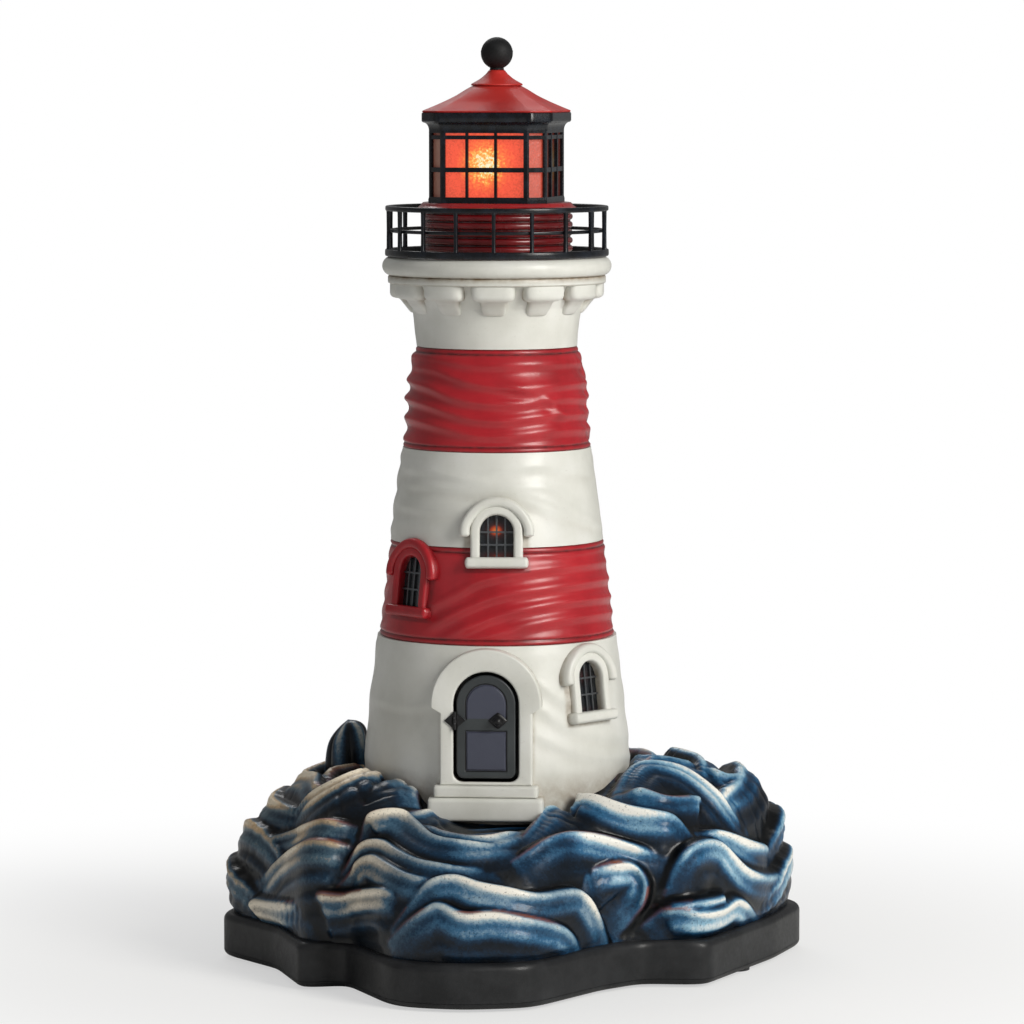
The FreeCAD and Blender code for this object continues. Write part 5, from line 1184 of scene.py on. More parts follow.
tower_band("band_red_lower", "tower_red", 1.15, 7.6, 5, window_holes, 0.3, True, LOWER_FOLDS)
tower_band("band_white", "tower_white", 0.7, 9.0, 31, window_holes, 0.25, False, WHITE_FOLDS)
tower_band("band_red_upper", "tower_red", 1.2, 7.4, 14, [], 0.35, True, UPPER_FOLDS)
tower_band("tower_neck", "tower_white", 0.25, 20.0, 9, [], 0.15, False)

# %% [markdown]
# ## Carried profiles
# The window hoods, sills and jambs are soft mouldings: a rounded section carried along a path on
# the wall, with its ends rounded over. The section is a superellipse, |x|^n + |y|^n = 1, which
# goes from round to nearly square as n grows.
#
# %% Mouldings on the wall
END_ROWS = 5                     # rows in each rounded end


def superellipse(count, power):
    """Points on |x|^power + |y|^power = 1."""
    t = np.linspace(0, 2 * np.pi, count, endpoint=False)
    return np.stack([np.sign(np.cos(t)) * np.abs(np.cos(t)) ** (2 / power),
                     np.sign(np.sin(t)) * np.abs(np.sin(t)) ** (2 / power)], axis=-1)


def moulding(path, widths, front, back, power=3.2, count=28, end_round=1.2):
    """A section carried along a path of (n, 2) points on the wall: it spans widths across the path,
    and front to back in depth. At both ends the rows shrink along a quarter circle of end_round."""
    path = np.asarray(path, float)
    widths = np.broadcast_to(np.asarray(widths, float), (len(path),))
    direction = np.gradient(path, axis=0)
    direction /= np.linalg.norm(direction, axis=1, keepdims=True)
    quarter = np.linspace(0, np.pi / 2, END_ROWS + 1)
    grow = np.sin(quarter)
    start = path[0] - direction[0] * (end_round * np.cos(quarter))[:, None]
    finish = path[-1] + direction[-1] * (end_round * np.cos(quarter))[::-1, None]
    path = np.concatenate([start[:-1], path, finish[1:]])
    direction = np.pad(direction, ((END_ROWS, END_ROWS), (0, 0)), mode="edge")
    scale = np.concatenate([grow[:-1], np.ones(len(widths)), grow[::-1][1:]])
    widths = np.pad(widths, END_ROWS, mode="edge")
    across = np.stack([-direction[:, 1], direction[:, 0]], axis=-1)
    section = superellipse(count, power)
    middle = (front + back) / 2
    half = (back - front) / 2
    x = path[:, None, 0] + across[:, None, 0] * section[None, :, 0] * (widths * scale)[:, None] / 2
    z = path[:, None, 1] + across[:, None, 1] * section[None, :, 0] * (widths * scale)[:, None] / 2
    y = middle + half * section[None, :, 1] * (0.25 + 0.75 * scale)[:, None]
    y[0] = middle
    y[-1] = middle
    points = np.stack([x, y, z], axis=-1)
    return points.reshape(-1, 3), grid_faces(len(path), count)


def arc_path(radius, spring, start_deg, end_deg, count, flick=0.0):
    """Points round an arch from one side to the other; flick moves the ends outwards."""
    t = np.linspace(math.radians(start_deg), math.radians(end_deg), count)
    out = radius + flick * np.abs(np.cos(t)) ** 8
    return np.stack([out * np.cos(t), spring + out * np.sin(t)], axis=-1)


# %% [markdown]
# ## Window frames
# Each window has a jamb round the opening, a thick rounded hood whose ends flick outwards, and a
# sill block. They are modelled flat and then leaned and turned onto the tower's wall.
#
# %% Window frames
HOOD_CENTRE = 11.4               # radius of the hood's middle line
HOOD_WIDE = 4.1
JAMB_WIDE = 3.7
SILL_HALF = 11.0
SILL_DROP = 2.1                  # from the opening's foot to the sill's middle
SILL_TALL = 4.3


def tower_radius(z):
    """The tower's plain outside at a height."""
    for name in tower_trees:
        if low(name) <= z <= top(name):
            return cad_radius(tower_trees[name], z, math.radians(90))
    return 0.0


def seated(points, turn_deg, foot_z, head_z):
    """Flat wall coordinates (x, depth, height) leaned against the wall and turned round the tower."""
    r0 = tower_radius(foot_z)
    r1 = tower_radius(head_z)
    middle = (foot_z + head_z) / 2
    lean = math.atan2(r0 - r1, head_z - foot_z)
    x, y, z = points[:, 0], points[:, 1], points[:, 2] - middle
    y2 = y * math.cos(lean) + z * math.sin(lean) - (r0 + r1) / 2
    z2 = -y * math.sin(lean) + z * math.cos(lean) + middle
    a = math.radians(turn_deg)
    return np.stack([AXIS_X + x * math.cos(a) - y2 * math.sin(a),
                     AXIS_Y + x * math.sin(a) + y2 * math.cos(a), z2], axis=-1)


def window_frame(side, material, proud=1.0):
    """proud scales how far the mouldings stand out of the wall."""
    turn_deg, foot_z, head_z = WINDOWS[side]
    spring = head_z - OPENING_HALF
    centre = OPENING_HALF + JAMB_WIDE / 2 - 0.15
    legs = np.linspace(foot_z - 1.0, spring, 12)
    left_leg = np.stack([np.full(12, centre), legs], axis=-1)
    head = arc_path(centre, spring, 0, 180, 40)[1:-1]
    right_leg = np.stack([np.full(12, -centre), legs[::-1]], axis=-1)
    jamb = moulding(np.concatenate([left_leg, head, right_leg]), JAMB_WIDE, -2.2 * proud, 3.6, 4.0)
    hood = moulding(arc_path(HOOD_CENTRE, spring, -4, 184, 56, 0.9), HOOD_WIDE, -3.3 * proud, 3.0, 2.8)
    sill_line = np.stack([np.linspace(-SILL_HALF, SILL_HALF, 24), np.full(24, foot_z - SILL_DROP)], axis=-1)
    sill = moulding(sill_line, SILL_TALL, -3.9 * proud, 3.0, 3.4)
    points, faces = joined([jamb, hood, sill])
    # painted shade on the parts of the mouldings that lie back against the wall
    shade_and_dirt = 0.55 * smoothstep(-1.2, 0.8, points[:, 1])
    make_piece("window_frame_" + side + "_moulded", seated(points, turn_deg, foot_z, head_z),
               faces[:, ::-1], material, replaces=["window_frame_" + side], poles=True,
               values={"shade_and_dirt": shade_and_dirt}, crease=70)


window_frame("front", "tower_white")
window_frame("left", "tower_red", 0.62)
window_frame("right", "tower_white")

# %% [markdown]
# ## Window panes
# Behind each set of bars lies one flat arched sheet. The front and right sheets carry a glow attribute, which
# is the lamp's light seen near the head of the window.
#
# %% Window panes
PANE_DEPTH = (2.2, 3.1)


def arched_sheet(half, foot_z, spring, front, back, rings=26, count=96):
    """A flat arch: rings from the middle out to the outline, front face, rim, back face."""
    t = np.linspace(0, 2 * np.pi, count, endpoint=False)
    x = half * np.cos(t)
    z = np.where(np.sin(t) >= 0, spring + half * np.sin(t), spring + (spring - foot_z) * np.sin(t))
    square = np.sin(t) < 0
    x = np.where(square, half * np.sign(np.cos(t)) * np.abs(np.cos(t)) ** 0.12, x)
    z = np.where(square, spring - (spring - foot_z) * np.abs(np.sin(t)) ** 0.5, z)
    middle_z = (foot_z + spring) / 2
    scale = np.concatenate([np.linspace(0, 1, rings), np.linspace(1, 0, rings)])[:, None]
    depth = np.concatenate([np.full(rings, front), np.full(rings, back)])[:, None]
    points = np.stack([x[None, :] * scale, depth + 0 * x[None, :],
                       middle_z + (z[None, :] - middle_z) * scale], axis=-1)
    return points.reshape(-1, 3), grid_faces(2 * rings, count)


LIT_SHARE = {"front": 1.0, "left": 0.0, "right": 0.25}
panes = []
glows = []
for side, (turn_deg, foot_z, head_z) in WINDOWS.items():
    spring = head_z - OPENING_HALF
    points, faces = arched_sheet(OPENING_HALF + 0.4, foot_z - 0.3, spring, *PANE_DEPTH)
    # painted glow: the lamp's light near the window's head, and a weaker pool of it just above the sill
    lamp_spot = np.hypot(points[:, 0] + 0.3, (points[:, 2] - spring - 0.6) * 1.2)
    sill_spot = np.hypot(points[:, 0] / 4, points[:, 2] - foot_z - 0.8)
    seen_light = np.maximum(np.exp(-(lamp_spot / 2.6) ** 2), 0.45 * np.exp(-(sill_spot / 1.2) ** 2))
    glows.append(LIT_SHARE[side] * seen_light)
    panes.append((seated(points, turn_deg, foot_z, head_z), faces))
points, faces = joined(panes)
make_piece("window_panes_lit", points, faces, "window_lit", replaces=["window_panes"], poles=True,
           values={"glow": np.concatenate(glows)})

# %% [markdown]
# ## Door surround
# The surround is one flat moulding: straight jambs, imposts where it steps out, and a round arch.
# Its inner edge follows the door opening and its outer edge the stepped outline; both are read
# along rays from a middle point, and the section between them has small round edges.
#
# %% Door surround
DOOR_FACE = 52.5
FRAME_BACK = 6.5
JAMB_HALF = LEAF_HALF + REVEAL + 5.15
ARCH_RADIUS = JAMB_HALF + 3.5
ARCH_CENTRE = LEAF_TOP - LEAF_HALF
SILL_TOP = LEAF_LOW - 2.6
EDGE_ROUND = 0.9
RAYS = 520


def outline_reach(points, angles, centre):
    """Distance from the centre to a closed outline along each angle, by crossing its edges."""
    a = np.asarray(points, float) - centre
    b = np.roll(a, -1, axis=0)
    ux, uz = np.cos(angles)[:, None], np.sin(angles)[:, None]
    d = b - a
    cross = ux * d[None, :, 1] - uz * d[None, :, 0]
    cross = np.where(np.abs(cross) < 1e-9, 1e-9, cross)
    along = (a[None, :, 0] * d[None, :, 1] - a[None, :, 1] * d[None, :, 0]) / cross
    share_on = (a[None, :, 0] * uz - a[None, :, 1] * ux) / cross
    ok = (along > 0) & (share_on >= -1e-6) & (share_on <= 1 + 1e-6)
    return np.where(ok, along, 0).max(axis=1)


def arch_outline(half, foot_z, spring, corner, count=48):
    """A round arch on straight sides, whose two lower corners are rounded by corner."""
    head = np.linspace(0, np.pi, count)
    points = np.stack([half * np.cos(head), spring + half * np.sin(head)], axis=-1)
    turn_t = np.linspace(np.pi, 1.5 * np.pi, 8)
    left = np.stack([-half + corner + corner * np.cos(turn_t),
                     foot_z + corner + corner * np.sin(turn_t)], axis=-1)
    right = left[::-1] * [-1, 1]
    return np.concatenate([points, left, right])


def on_door(points):
    """Flat door coordinates turned onto the tower."""
    a = math.radians(DOOR_TURN)
    x, y, z = points[..., 0], points[..., 1], points[..., 2]
    return np.stack([AXIS_X + x * math.cos(a) - y * math.sin(a),
                     AXIS_Y + x * math.sin(a) + y * math.cos(a), z], axis=-1)


IMPOST_DROP = 1.2
door_centre = np.array([0.0, 95.0])
ray = np.linspace(0, 2 * np.pi, RAYS, endpoint=False)
opening = arch_outline(LEAF_HALF + REVEAL, LEAF_LOW - REVEAL, ARCH_CENTRE, 3.6)
arch_from = math.asin(-IMPOST_DROP / ARCH_RADIUS)
arch_t = np.linspace(arch_from, math.pi - arch_from, 60)
arch = np.stack([ARCH_RADIUS * np.cos(arch_t), ARCH_CENTRE + ARCH_RADIUS * np.sin(arch_t)], axis=-1)
impost = ARCH_CENTRE - IMPOST_DROP - 0.2
outline = np.concatenate([arch, [[-JAMB_HALF, impost], [-JAMB_HALF, SILL_TOP],
                                 [JAMB_HALF, SILL_TOP], [JAMB_HALF, impost]]])
inner_reach = outline_reach(opening, ray, door_centre)
outer_reach = outline_reach(outline, ray, door_centre)
quarter = np.linspace(0, np.pi / 2, 6)
inner_off = np.concatenate([[0], EDGE_ROUND * (1 - np.cos(quarter))])
inner_depth = np.concatenate([[FRAME_BACK], EDGE_ROUND * (1 - np.sin(quarter))])
rows = [(inner_reach + offset, deep) for offset, deep in zip(inner_off, inner_depth)]
rows += [(outer_reach - offset, deep) for offset, deep in zip(inner_off[::-1], inner_depth[::-1])]
surround = np.stack([np.stack([door_centre[0] + r * np.cos(ray), np.full(RAYS, deep - DOOR_FACE),
                               door_centre[1] + r * np.sin(ray)], axis=-1) for r, deep in rows])
# painted shade along the inner edge beside the recess and along the outer edge against the wall
surround_shade = np.concatenate([np.full(2, 0.45), np.zeros(len(rows) - 3), [0.3]])[:, None]
make_piece("door_surround", on_door(surround).reshape(-1, 3),
           grid_faces(len(rows), RAYS, loop=True)[:, ::-1], "tower_white", replaces=["door_frame"], crease=50,
           values={"shade_and_dirt": surround_shade + np.zeros(RAYS)})

# %% [markdown]
# ## Door recess
# Behind the leaf is a shallow recess, the size of the opening, closed at the back. It is coloured near-black
# as painted shade, and shows as the black line round the leaf, and as the inside when the door opens.
#
# %% Door recess
niche_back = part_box("door_frame")[1].y
NICHE_DEPTH = 11.0
LINING = 0.9
NICHE_FRONT = 1.2                # the lining starts this far behind the surround's face
# offset from the opening's edge (None is the middle of the back) and depth
levels = [(0.0, NICHE_FRONT), (0.0, NICHE_DEPTH), (None, NICHE_DEPTH), (None, NICHE_DEPTH + LINING),
          (LINING, NICHE_DEPTH + LINING), (LINING, NICHE_FRONT)]
lining = []
for offset, deep in levels:
    r = np.zeros(RAYS) if offset is None else inner_reach + offset
    lining.append(np.stack([door_centre[0] + r * np.cos(ray), np.full(RAYS, deep - DOOR_FACE),
                            door_centre[1] + r * np.sin(ray)], axis=-1))
lining = np.stack(lining)
make_piece("door_recess", on_door(lining).reshape(-1, 3),
           grid_faces(len(levels), RAYS, loop=True)[:, ::-1], "hinge_black", poles=True, crease=40)

# %% [markdown]
# ## Door leaf
# The leaf is a slate-painted slab with softened edges. Two lines are engraved in it: an arch that
# follows the leaf's head and ends above the lock, and a rectangle below. The front is a fine grid
# of rings, and each point sinks by a smooth groove where its distance to a line is small.
#
# %% Door leaf
LEAF_FRONT = DOOR_FACE - 0.6
LEAF_THICK = 2.5
PANEL_INSET = 3.6
GROOVE_HALF = 0.42
GROOVE_DEPTH = 0.55
ARCH_FOOT = LEAF_LOW + 23.0
PANEL = (LEAF_LOW + 3.0, LEAF_LOW + 18.0)
LEAF_RINGS = 120


def engraved(x, z):
    """0 to 1: how deep in a groove a point of the leaf is."""
    half = LEAF_HALF - PANEL_INSET
    arch_gap = np.where(z > ARCH_CENTRE, np.abs(np.hypot(x, z - ARCH_CENTRE) - half),
                        np.hypot(np.abs(x) - half, np.minimum(z - ARCH_FOOT, 0)))
    dx = np.abs(x) - half
    dz = np.abs(z - sum(PANEL) / 2) - (PANEL[1] - PANEL[0]) / 2
    box_gap = np.where((dx < 0) & (dz < 0), -np.maximum(dx, dz),
                       np.hypot(np.maximum(dx, 0), np.maximum(dz, 0)))
    gap = np.minimum(arch_gap, box_gap)
    return 1 - smoothstep(GROOVE_HALF * 0.5, GROOVE_HALF * 1.3, gap)


leaf_outline = arch_outline(LEAF_HALF, LEAF_LOW, ARCH_CENTRE, 2.7)
leaf_reach = outline_reach(leaf_outline, ray, door_centre)
spread = np.linspace(0, 1, LEAF_RINGS)[:, None]
front_r = spread * (leaf_reach[None, :] - 0.5)
front_y = np.zeros_like(front_r)
edge_r = leaf_reach[None, :] - np.array([0.15, 0.0, 0.0, 0.15])[:, None]
edge_y = np.array([0.15, 0.5, LEAF_THICK - 0.5, LEAF_THICK - 0.15])[:, None] + 0 * edge_r
back_r = np.array([1.0, 0.0])[:, None] * (leaf_reach[None, :] - 0.5)
back_y = np.full_like(back_r, LEAF_THICK)
leaf_r = np.concatenate([front_r, edge_r, back_r])
leaf_x = door_centre[0] + leaf_r * np.cos(ray)
leaf_z = door_centre[1] + leaf_r * np.sin(ray)
groove = engraved(leaf_x, leaf_z)
groove[LEAF_RINGS:] = 0
inset = LEAF_HALF - PANEL_INSET
in_arch = np.where(leaf_z > ARCH_CENTRE, np.hypot(leaf_x, leaf_z - ARCH_CENTRE) < inset,
                   (np.abs(leaf_x) < inset) & (leaf_z > ARCH_FOOT))
in_box = (np.abs(leaf_x) < inset) & (leaf_z > PANEL[0]) & (leaf_z < PANEL[1])
panel = (in_arch | in_box).astype(float)
leaf_y = np.concatenate([front_y, edge_y, back_y]) + GROOVE_DEPTH * groove - LEAF_FRONT
leaf = np.stack([leaf_x, leaf_y, leaf_z], axis=-1)
# the engraved lines are darkened by the same mask
make_piece("door_leaf_panelled", on_door(leaf).reshape(-1, 3), grid_faces(*leaf.shape[:2]), "door_grey",
           replaces=["door_leaf"], body="door", poles=True, values={
               "shade_and_dirt": 1.6 * groove, "panel": panel}, crease=50)

# %% [markdown]
# ## Sill and step
# Two stones lie under the door, cast with soft edges. Each is a moulding carried straight across.
#
# %% Sill and step
for name, half, front, bottom, upper in (
        ("door_sill", JAMB_HALF + 2.5, DOOR_FACE + 2.1, LEAF_LOW - 7.2, LEAF_LOW - 2.6),
        ("door_step", JAMB_HALF + 4.6, DOOR_FACE + 4.1, LEAF_LOW - 16.2, LEAF_LOW - 7.2)):
    line = np.stack([np.linspace(-half + 0.8, half - 0.8, 30), np.full(30, (bottom + upper) / 2)], axis=-1)
    points, faces = moulding(line, upper - bottom, -front, -front + 13, 7.0, 44, 0.8)
    # painted shade on the stones towards the wall
    stone_shade = 0.5 * smoothstep(-front + 2.5, -front + 6, points[:, 1])
    make_piece(name + "_moulded", on_door(points), faces[:, ::-1], "tower_white", replaces=[name],
               poles=True, values={"shade_and_dirt": stone_shade}, crease=60)

# %% [markdown]
# ## Gallery
# The gallery floor is a turned ring with a thick rolled edge and a thin step under it. The line under the
# roll and the underside are darkened as painted shade.
#
# %% Gallery deck
deck_low = low("gallery_deck")
deck_top = top("gallery_deck")
deck_edge = (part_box("gallery_deck")[1].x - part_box("gallery_deck")[0].x) / 2 / MM
DECK_BORE = 21.5                 # radius of its hole
ROLL = (deck_top - deck_low - 3.0) / 2
arc = np.radians(np.linspace(-80, 90, 22))
roll = np.stack([deck_edge - ROLL + ROLL * np.cos(arc), deck_top - ROLL + ROLL * np.sin(arc)], axis=-1)
deck_outline = np.concatenate([
    [(DECK_BORE, deck_top), (DECK_BORE, deck_low), (deck_edge - 2.9, deck_low),
     (deck_edge - 2.35, deck_low + 0.25), (deck_edge - 2.2, deck_low + 0.8),
     (deck_edge - 2.2, deck_low + 2.5), (deck_edge - 2.5, deck_low + 3.0)], roll])
deck_wobble = ripples(41, 4, 5, 0.02)
points, faces = turn(deck_outline, wobble=lambda a, h: 0.12 * deck_wobble(a, h))
deck_shade = np.repeat(0.8 * np.exp(-((deck_outline[:, 1] - deck_low - 2.9) / 0.6) ** 2)
                       + 0.35 * (deck_outline[:, 1] < deck_low + 0.5), TURN_STEPS)
make_piece("gallery_floor", points, faces, "tower_white", replaces=["gallery_deck"],
           values={"shade_and_dirt": deck_shade}, crease=60)

# %% [markdown]
# ## Corbels
# Under the deck stand twelve corbels, each a rounded block on a narrower stem that leans back into the neck.
# A block is a stack of rounded rectangles bent round the tower, and painted shade darkens them between the
# blocks, on their inner parts just under the deck.
#
# %% Corbels
CORBELS = 12
CORBEL_TURN = -2.0
CORBEL_INNER = 29.5              # radius inside the neck's wall
CORBEL_POINTS = 40
corbel_out = deck_edge - 2.8
# rows from the top down: depth below the deck, half angle in degrees, outer radius
corbel_rows = np.array([
    (-0.3, 12.4, corbel_out), (0.6, 12.5, corbel_out), (2.2, 12.5, corbel_out), (3.6, 12.4, corbel_out),
    (4.6, 12.0, corbel_out - 0.25), (5.3, 11.2, corbel_out - 0.9), (5.7, 9.9, corbel_out - 2.0),
    (5.85, 8.6, corbel_out - 3.2), (6.2, 8.2, corbel_out - 3.9), (7.4, 8.1, corbel_out - 4.9),
    (8.8, 8.0, corbel_out - 6.0), (10.2, 7.7, corbel_out - 7.1), (11.1, 7.0, corbel_out - 7.9),
    (11.5, 5.6, corbel_out - 8.5)])
drop, half_angle, outer = corbel_rows.T
loop = superellipse(CORBEL_POINTS, 5.0)
blocks = []
for k in range(CORBELS):
    middle = math.radians(CORBEL_TURN - 90 + 360 * k / CORBELS)
    a = middle - np.radians(half_angle)[:, None] * loop[None, :, 0]
    r = ((outer + CORBEL_INNER) / 2)[:, None] + ((outer - CORBEL_INNER) / 2)[:, None] * loop[None, :, 1]
    z = (deck_low - drop)[:, None] + 0 * a
    ring = np.stack([AXIS_X + r * np.cos(a), AXIS_Y + r * np.sin(a), z], axis=-1)
    first = ring[:1].mean(axis=1, keepdims=True).repeat(CORBEL_POINTS, axis=1)
    last = ring[-1:].mean(axis=1, keepdims=True).repeat(CORBEL_POINTS, axis=1)
    ring = np.concatenate([first, ring, last])
    blocks.append((ring.reshape(-1, 3), grid_faces(len(ring), CORBEL_POINTS)))
points, faces = joined(blocks)
corbel_radius = np.hypot(points[:, 0] - AXIS_X, points[:, 1] - AXIS_Y)
corbel_shade = smoothstep(38.5, 34.5, corbel_radius) * smoothstep(deck_low - 9, deck_low - 5, points[:, 2])
make_piece("corbels_moulded", points, faces, "tower_white", replaces=["corbels"], poles=True, crease=70,
           values={"shade_and_dirt": 0.8 * corbel_shade})

# %% [markdown]
# ## Railing
# The rails are thin black rings with softened edges: a top rail, a base ring and a thinner rail
# inside the posts.
#
# %% Railing
rail_radius = (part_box("railing_top_rail")[1].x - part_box("railing_top_rail")[0].x) / 2 / MM - 1.0


def ring_rail(name, radius_mm, half_width, power):
    """A turned ring as tall as the measured one, with a superellipse for its section."""
    section = superellipse(24, power)
    outline = np.stack([radius_mm + half_width * section[:, 0],
                        (low(name) + top(name)) / 2 + (top(name) - low(name)) / 2 * section[:, 1]], axis=-1)
    points, faces = turn(outline)
    make_piece(name + "_rounded", points, faces, "rail_black", replaces=[name], crease=70)


ring_rail("railing_top_rail", rail_radius, 1.0, 3.5)
ring_rail("railing_base_ring", rail_radius, 1.15, 4.0)
ring_rail("railing_mid_rail", rail_radius - 1.5, 0.65, 2.6)

# %% [markdown]
# ## Railing posts
# The slim posts swell a little at both ends, where they meet the rings.
#
# %% Railing posts
RAIL_POSTS = 18
POST_POINTS = 14
RAIL_TURN = -1.5
post_low = low("railing_posts") - 0.5
post_top = top("railing_posts") + 0.5
section = superellipse(POST_POINTS, 3.4)
climb = np.array([0.0, 0.0, 0.06, 0.5, 0.94, 1.0, 1.0])
swell = np.array([0.0, 1.15, 1.0, 0.92, 1.0, 1.15, 0.0])
posts = []
for k in range(RAIL_POSTS):
    a = math.radians(RAIL_TURN - 90 + 360 * k / RAIL_POSTS)
    out = rail_radius + 0.85 * swell[:, None] * section[None, :, 0]
    side_step = 0.75 * swell[:, None] * section[None, :, 1]
    x = AXIS_X + out * math.cos(a) - side_step * math.sin(a)
    y = AXIS_Y + out * math.sin(a) + side_step * math.cos(a)
    z = post_low + (post_top - post_low) * climb[:, None] + 0 * x
    posts.append((np.stack([x, y, z], axis=-1).reshape(-1, 3), grid_faces(len(climb), POST_POINTS)))
points, faces = joined(posts)
make_piece("railing_posts_slim", points, faces, "rail_black", replaces=["railing_posts"], poles=True)

# %% [markdown]
# ## Drum and flare
# The lantern's drum is turned with five round ribs, and flares out in steps under the glazing.
#
# %% Drum and flare
RIBS = 5
drum_low_z = low("lantern_drum")
drum_top_z = top("lantern_drum")
rib_pitch = (drum_top_z - drum_low_z) / (RIBS + 1)
drum_radius = (drum_high.x - drum_low.x) / 2 / MM - 0.4 * rib_pitch
z = np.linspace(drum_low_z, drum_top_z, 150)
nearest_rib = np.clip(np.round((z - drum_low_z) / rib_pitch), 1, RIBS)
off = (z - drum_low_z) - nearest_rib * rib_pitch
rib = 0.42 * rib_pitch
outside = drum_radius + np.sqrt(np.clip(rib ** 2 - off ** 2, 0, None))
drum_outline = np.concatenate([[(drum_radius - 3, drum_low_z)], np.stack([outside, z], axis=-1),
                               [(drum_radius - 3, drum_top_z)]])
points, faces = turn(drum_outline)
# painted shade between the ribs
between_ribs = np.clip(1 - (outside - drum_radius) / 0.5, 0, 1)
make_piece("lantern_drum_ribbed", points, faces, "drum_red", replaces=["lantern_drum"],
           values={"shade_and_dirt": np.repeat(0.7 * np.pad(between_ribs, 1), TURN_STEPS)}, crease=60)

flare_low = low("lantern_flare")
flare_top = top("lantern_flare")
flare_outer = (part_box("lantern_flare")[1].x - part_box("lantern_flare")[0].x) / 2 / MM
flare_outline = rounded([(20.6, flare_low), (flare_outer, flare_low), (flare_outer, flare_low + 0.7),
                         (flare_outer - 0.9, flare_low + 1.2), (flare_outer - 1.3, flare_low + 1.9),
                         (flare_outer - 1.9, flare_top), (20.6, flare_top)], 0.3)
points, faces = turn(flare_outline)
make_piece("lantern_flare_stepped", points, faces, "flare_red", replaces=["lantern_flare"],
           values={"shade_and_dirt": np.zeros(len(points))}, crease=60)

# %% [markdown]
# ## Eight-sided roof
# Cornice and roof have eight sides, wide and narrow in turn. The distance to the outline in one
# direction is the least distance to its eight lines; a power mean instead of the least rounds the
# corners. Going up, the roof changes smoothly from eight sides to round.
#
# %% Cornice and roof
WIDE_HALF = 36.0                 # half the angle of a wide side, in degrees
LANTERN_TURN = -12.0
OCTAGON_POWER = 90.0
ROOF_STEPS = 480
BORE = 1.6                       # radius of the stud's hole


def octagon(angle):
    """Radius of an eight-sided outline whose corners are at radius 1, in one direction."""
    total = 0.0
    for k in range(8):
        half = math.radians(WIDE_HALF if k % 2 == 0 else 45 - WIDE_HALF)
        face = math.radians(-90 + LANTERN_TURN + 45 * k)
        total = total + np.clip(np.cos(angle - face) / math.cos(half), 1e-6, None) ** OCTAGON_POWER
    return total ** (-1 / OCTAGON_POWER)


def eight_sided(outline, roundness):
    """A turned outline whose radius is scaled by the eight-sided shape, mixed with a circle."""
    outline = np.asarray(outline, float)
    angle = np.linspace(0, 2 * np.pi, ROOF_STEPS, endpoint=False)
    k = np.asarray(roundness, float)[:, None]
    r = outline[:, :1] * (octagon(angle)[None, :] * (1 - k) + k)
    points = np.stack([AXIS_X + r * np.cos(angle), AXIS_Y + r * np.sin(angle),
                       outline[:, 1:] + 0 * r], axis=-1)
    return points.reshape(-1, 3), grid_faces(len(outline), ROOF_STEPS, loop=True)


corn_low = top("lantern_head")
eave = top("lantern_cornice")
corner_reach = 31.9              # from the axis to a corner of the fascia
SPIGOT = 19.9                    # radius of the part that plugs the lantern's head
cove_t = np.linspace(0, np.pi / 2, 12)
cove = np.stack([28.8 + 2.5 * (1 - np.cos(cove_t)), corn_low + 3.2 * np.sin(cove_t)], axis=-1)
fascia = np.array([(31.6, corn_low + 3.45), (corner_reach, corn_low + 3.8), (corner_reach, eave - 0.5),
                   (corner_reach - 0.15, eave - 0.15), (corner_reach - 0.5, eave)])
cornice = np.concatenate([[(SPIGOT, corn_low - 3.0), (SPIGOT, corn_low)], cove, fascia,
                          [(BORE, eave), (BORE, corn_low - 3.0)]])
round_rows = np.concatenate([[1, 1], np.zeros(len(cove) + len(fascia)), [1, 1]])
points, faces = eight_sided(cornice, round_rows)
make_piece("lantern_cornice_moulded", points, faces, "frame_black", replaces=["lantern_cornice"],
           body="roof", crease=35)

# %% [markdown]
# ## Roof shell
# The roof is a cast shell with eight flat sides that sag very slightly, as the outline here does,
# and turn round under the cap.
#
# %% Roof shell
EAVE_REACH = 31.6
CAP_REACH = 9.4
SAG = 0.45
roof_low = low("roof_shell")
cap_low = low("roof_cap")
t = np.linspace(0, 1, 60)
roof_r = EAVE_REACH + (CAP_REACH - EAVE_REACH) * t
sag = -SAG * np.sin(np.pi * t)
roof_z = roof_low + 0.7 + (cap_low - roof_low - 0.7) * t + sag
lip = np.array([(30.2, roof_low), (31.3, roof_low), (31.65, roof_low + 0.25)])
roof_outline = np.concatenate([[(BORE, roof_low)], lip, np.stack([roof_r, roof_z], axis=-1),
                               [(BORE, cap_low)]])
round_up = smoothstep(0.35, 1.0, t) * 0.9
round_rows = np.concatenate([[1, 0, 0, 0], round_up, [1]])
points, faces = eight_sided(roof_outline, round_rows)
# painted shade under the eave's lip and just under the cap
roof_shade = np.concatenate([[0, 0.3, 0.3, 0.2], 0.5 * smoothstep(0.94, 1.0, t), [0]])
make_piece("roof_shell_smooth", points, faces, "roof_red", replaces=["roof_shell"], body="roof",
           values={"shade_and_dirt": np.repeat(roof_shade, ROOF_STEPS)}, crease=28)

# %% [markdown]
# ## Cap and ball
# The cap is a turned bell that covers the roof's point. The ball is cast in two halves, which leave
# a fine seam round it, and stands on a short collar.
#
# %% Cap and ball
cap_top = top("roof_cap")
cap_outline = rounded([(BORE, cap_low), (10.0, cap_low), (10.0, cap_low + 0.6), (6.4, cap_low + 2.6),
                       (4.1, cap_low + 4.6), (3.0, cap_top), (BORE, cap_top)], 1.2)
points, faces = turn(cap_outline)
make_piece("roof_cap_turned", points, faces, "roof_red", replaces=["roof_cap"], body="roof",
           values={"shade_and_dirt": np.zeros(len(points))}, crease=60)

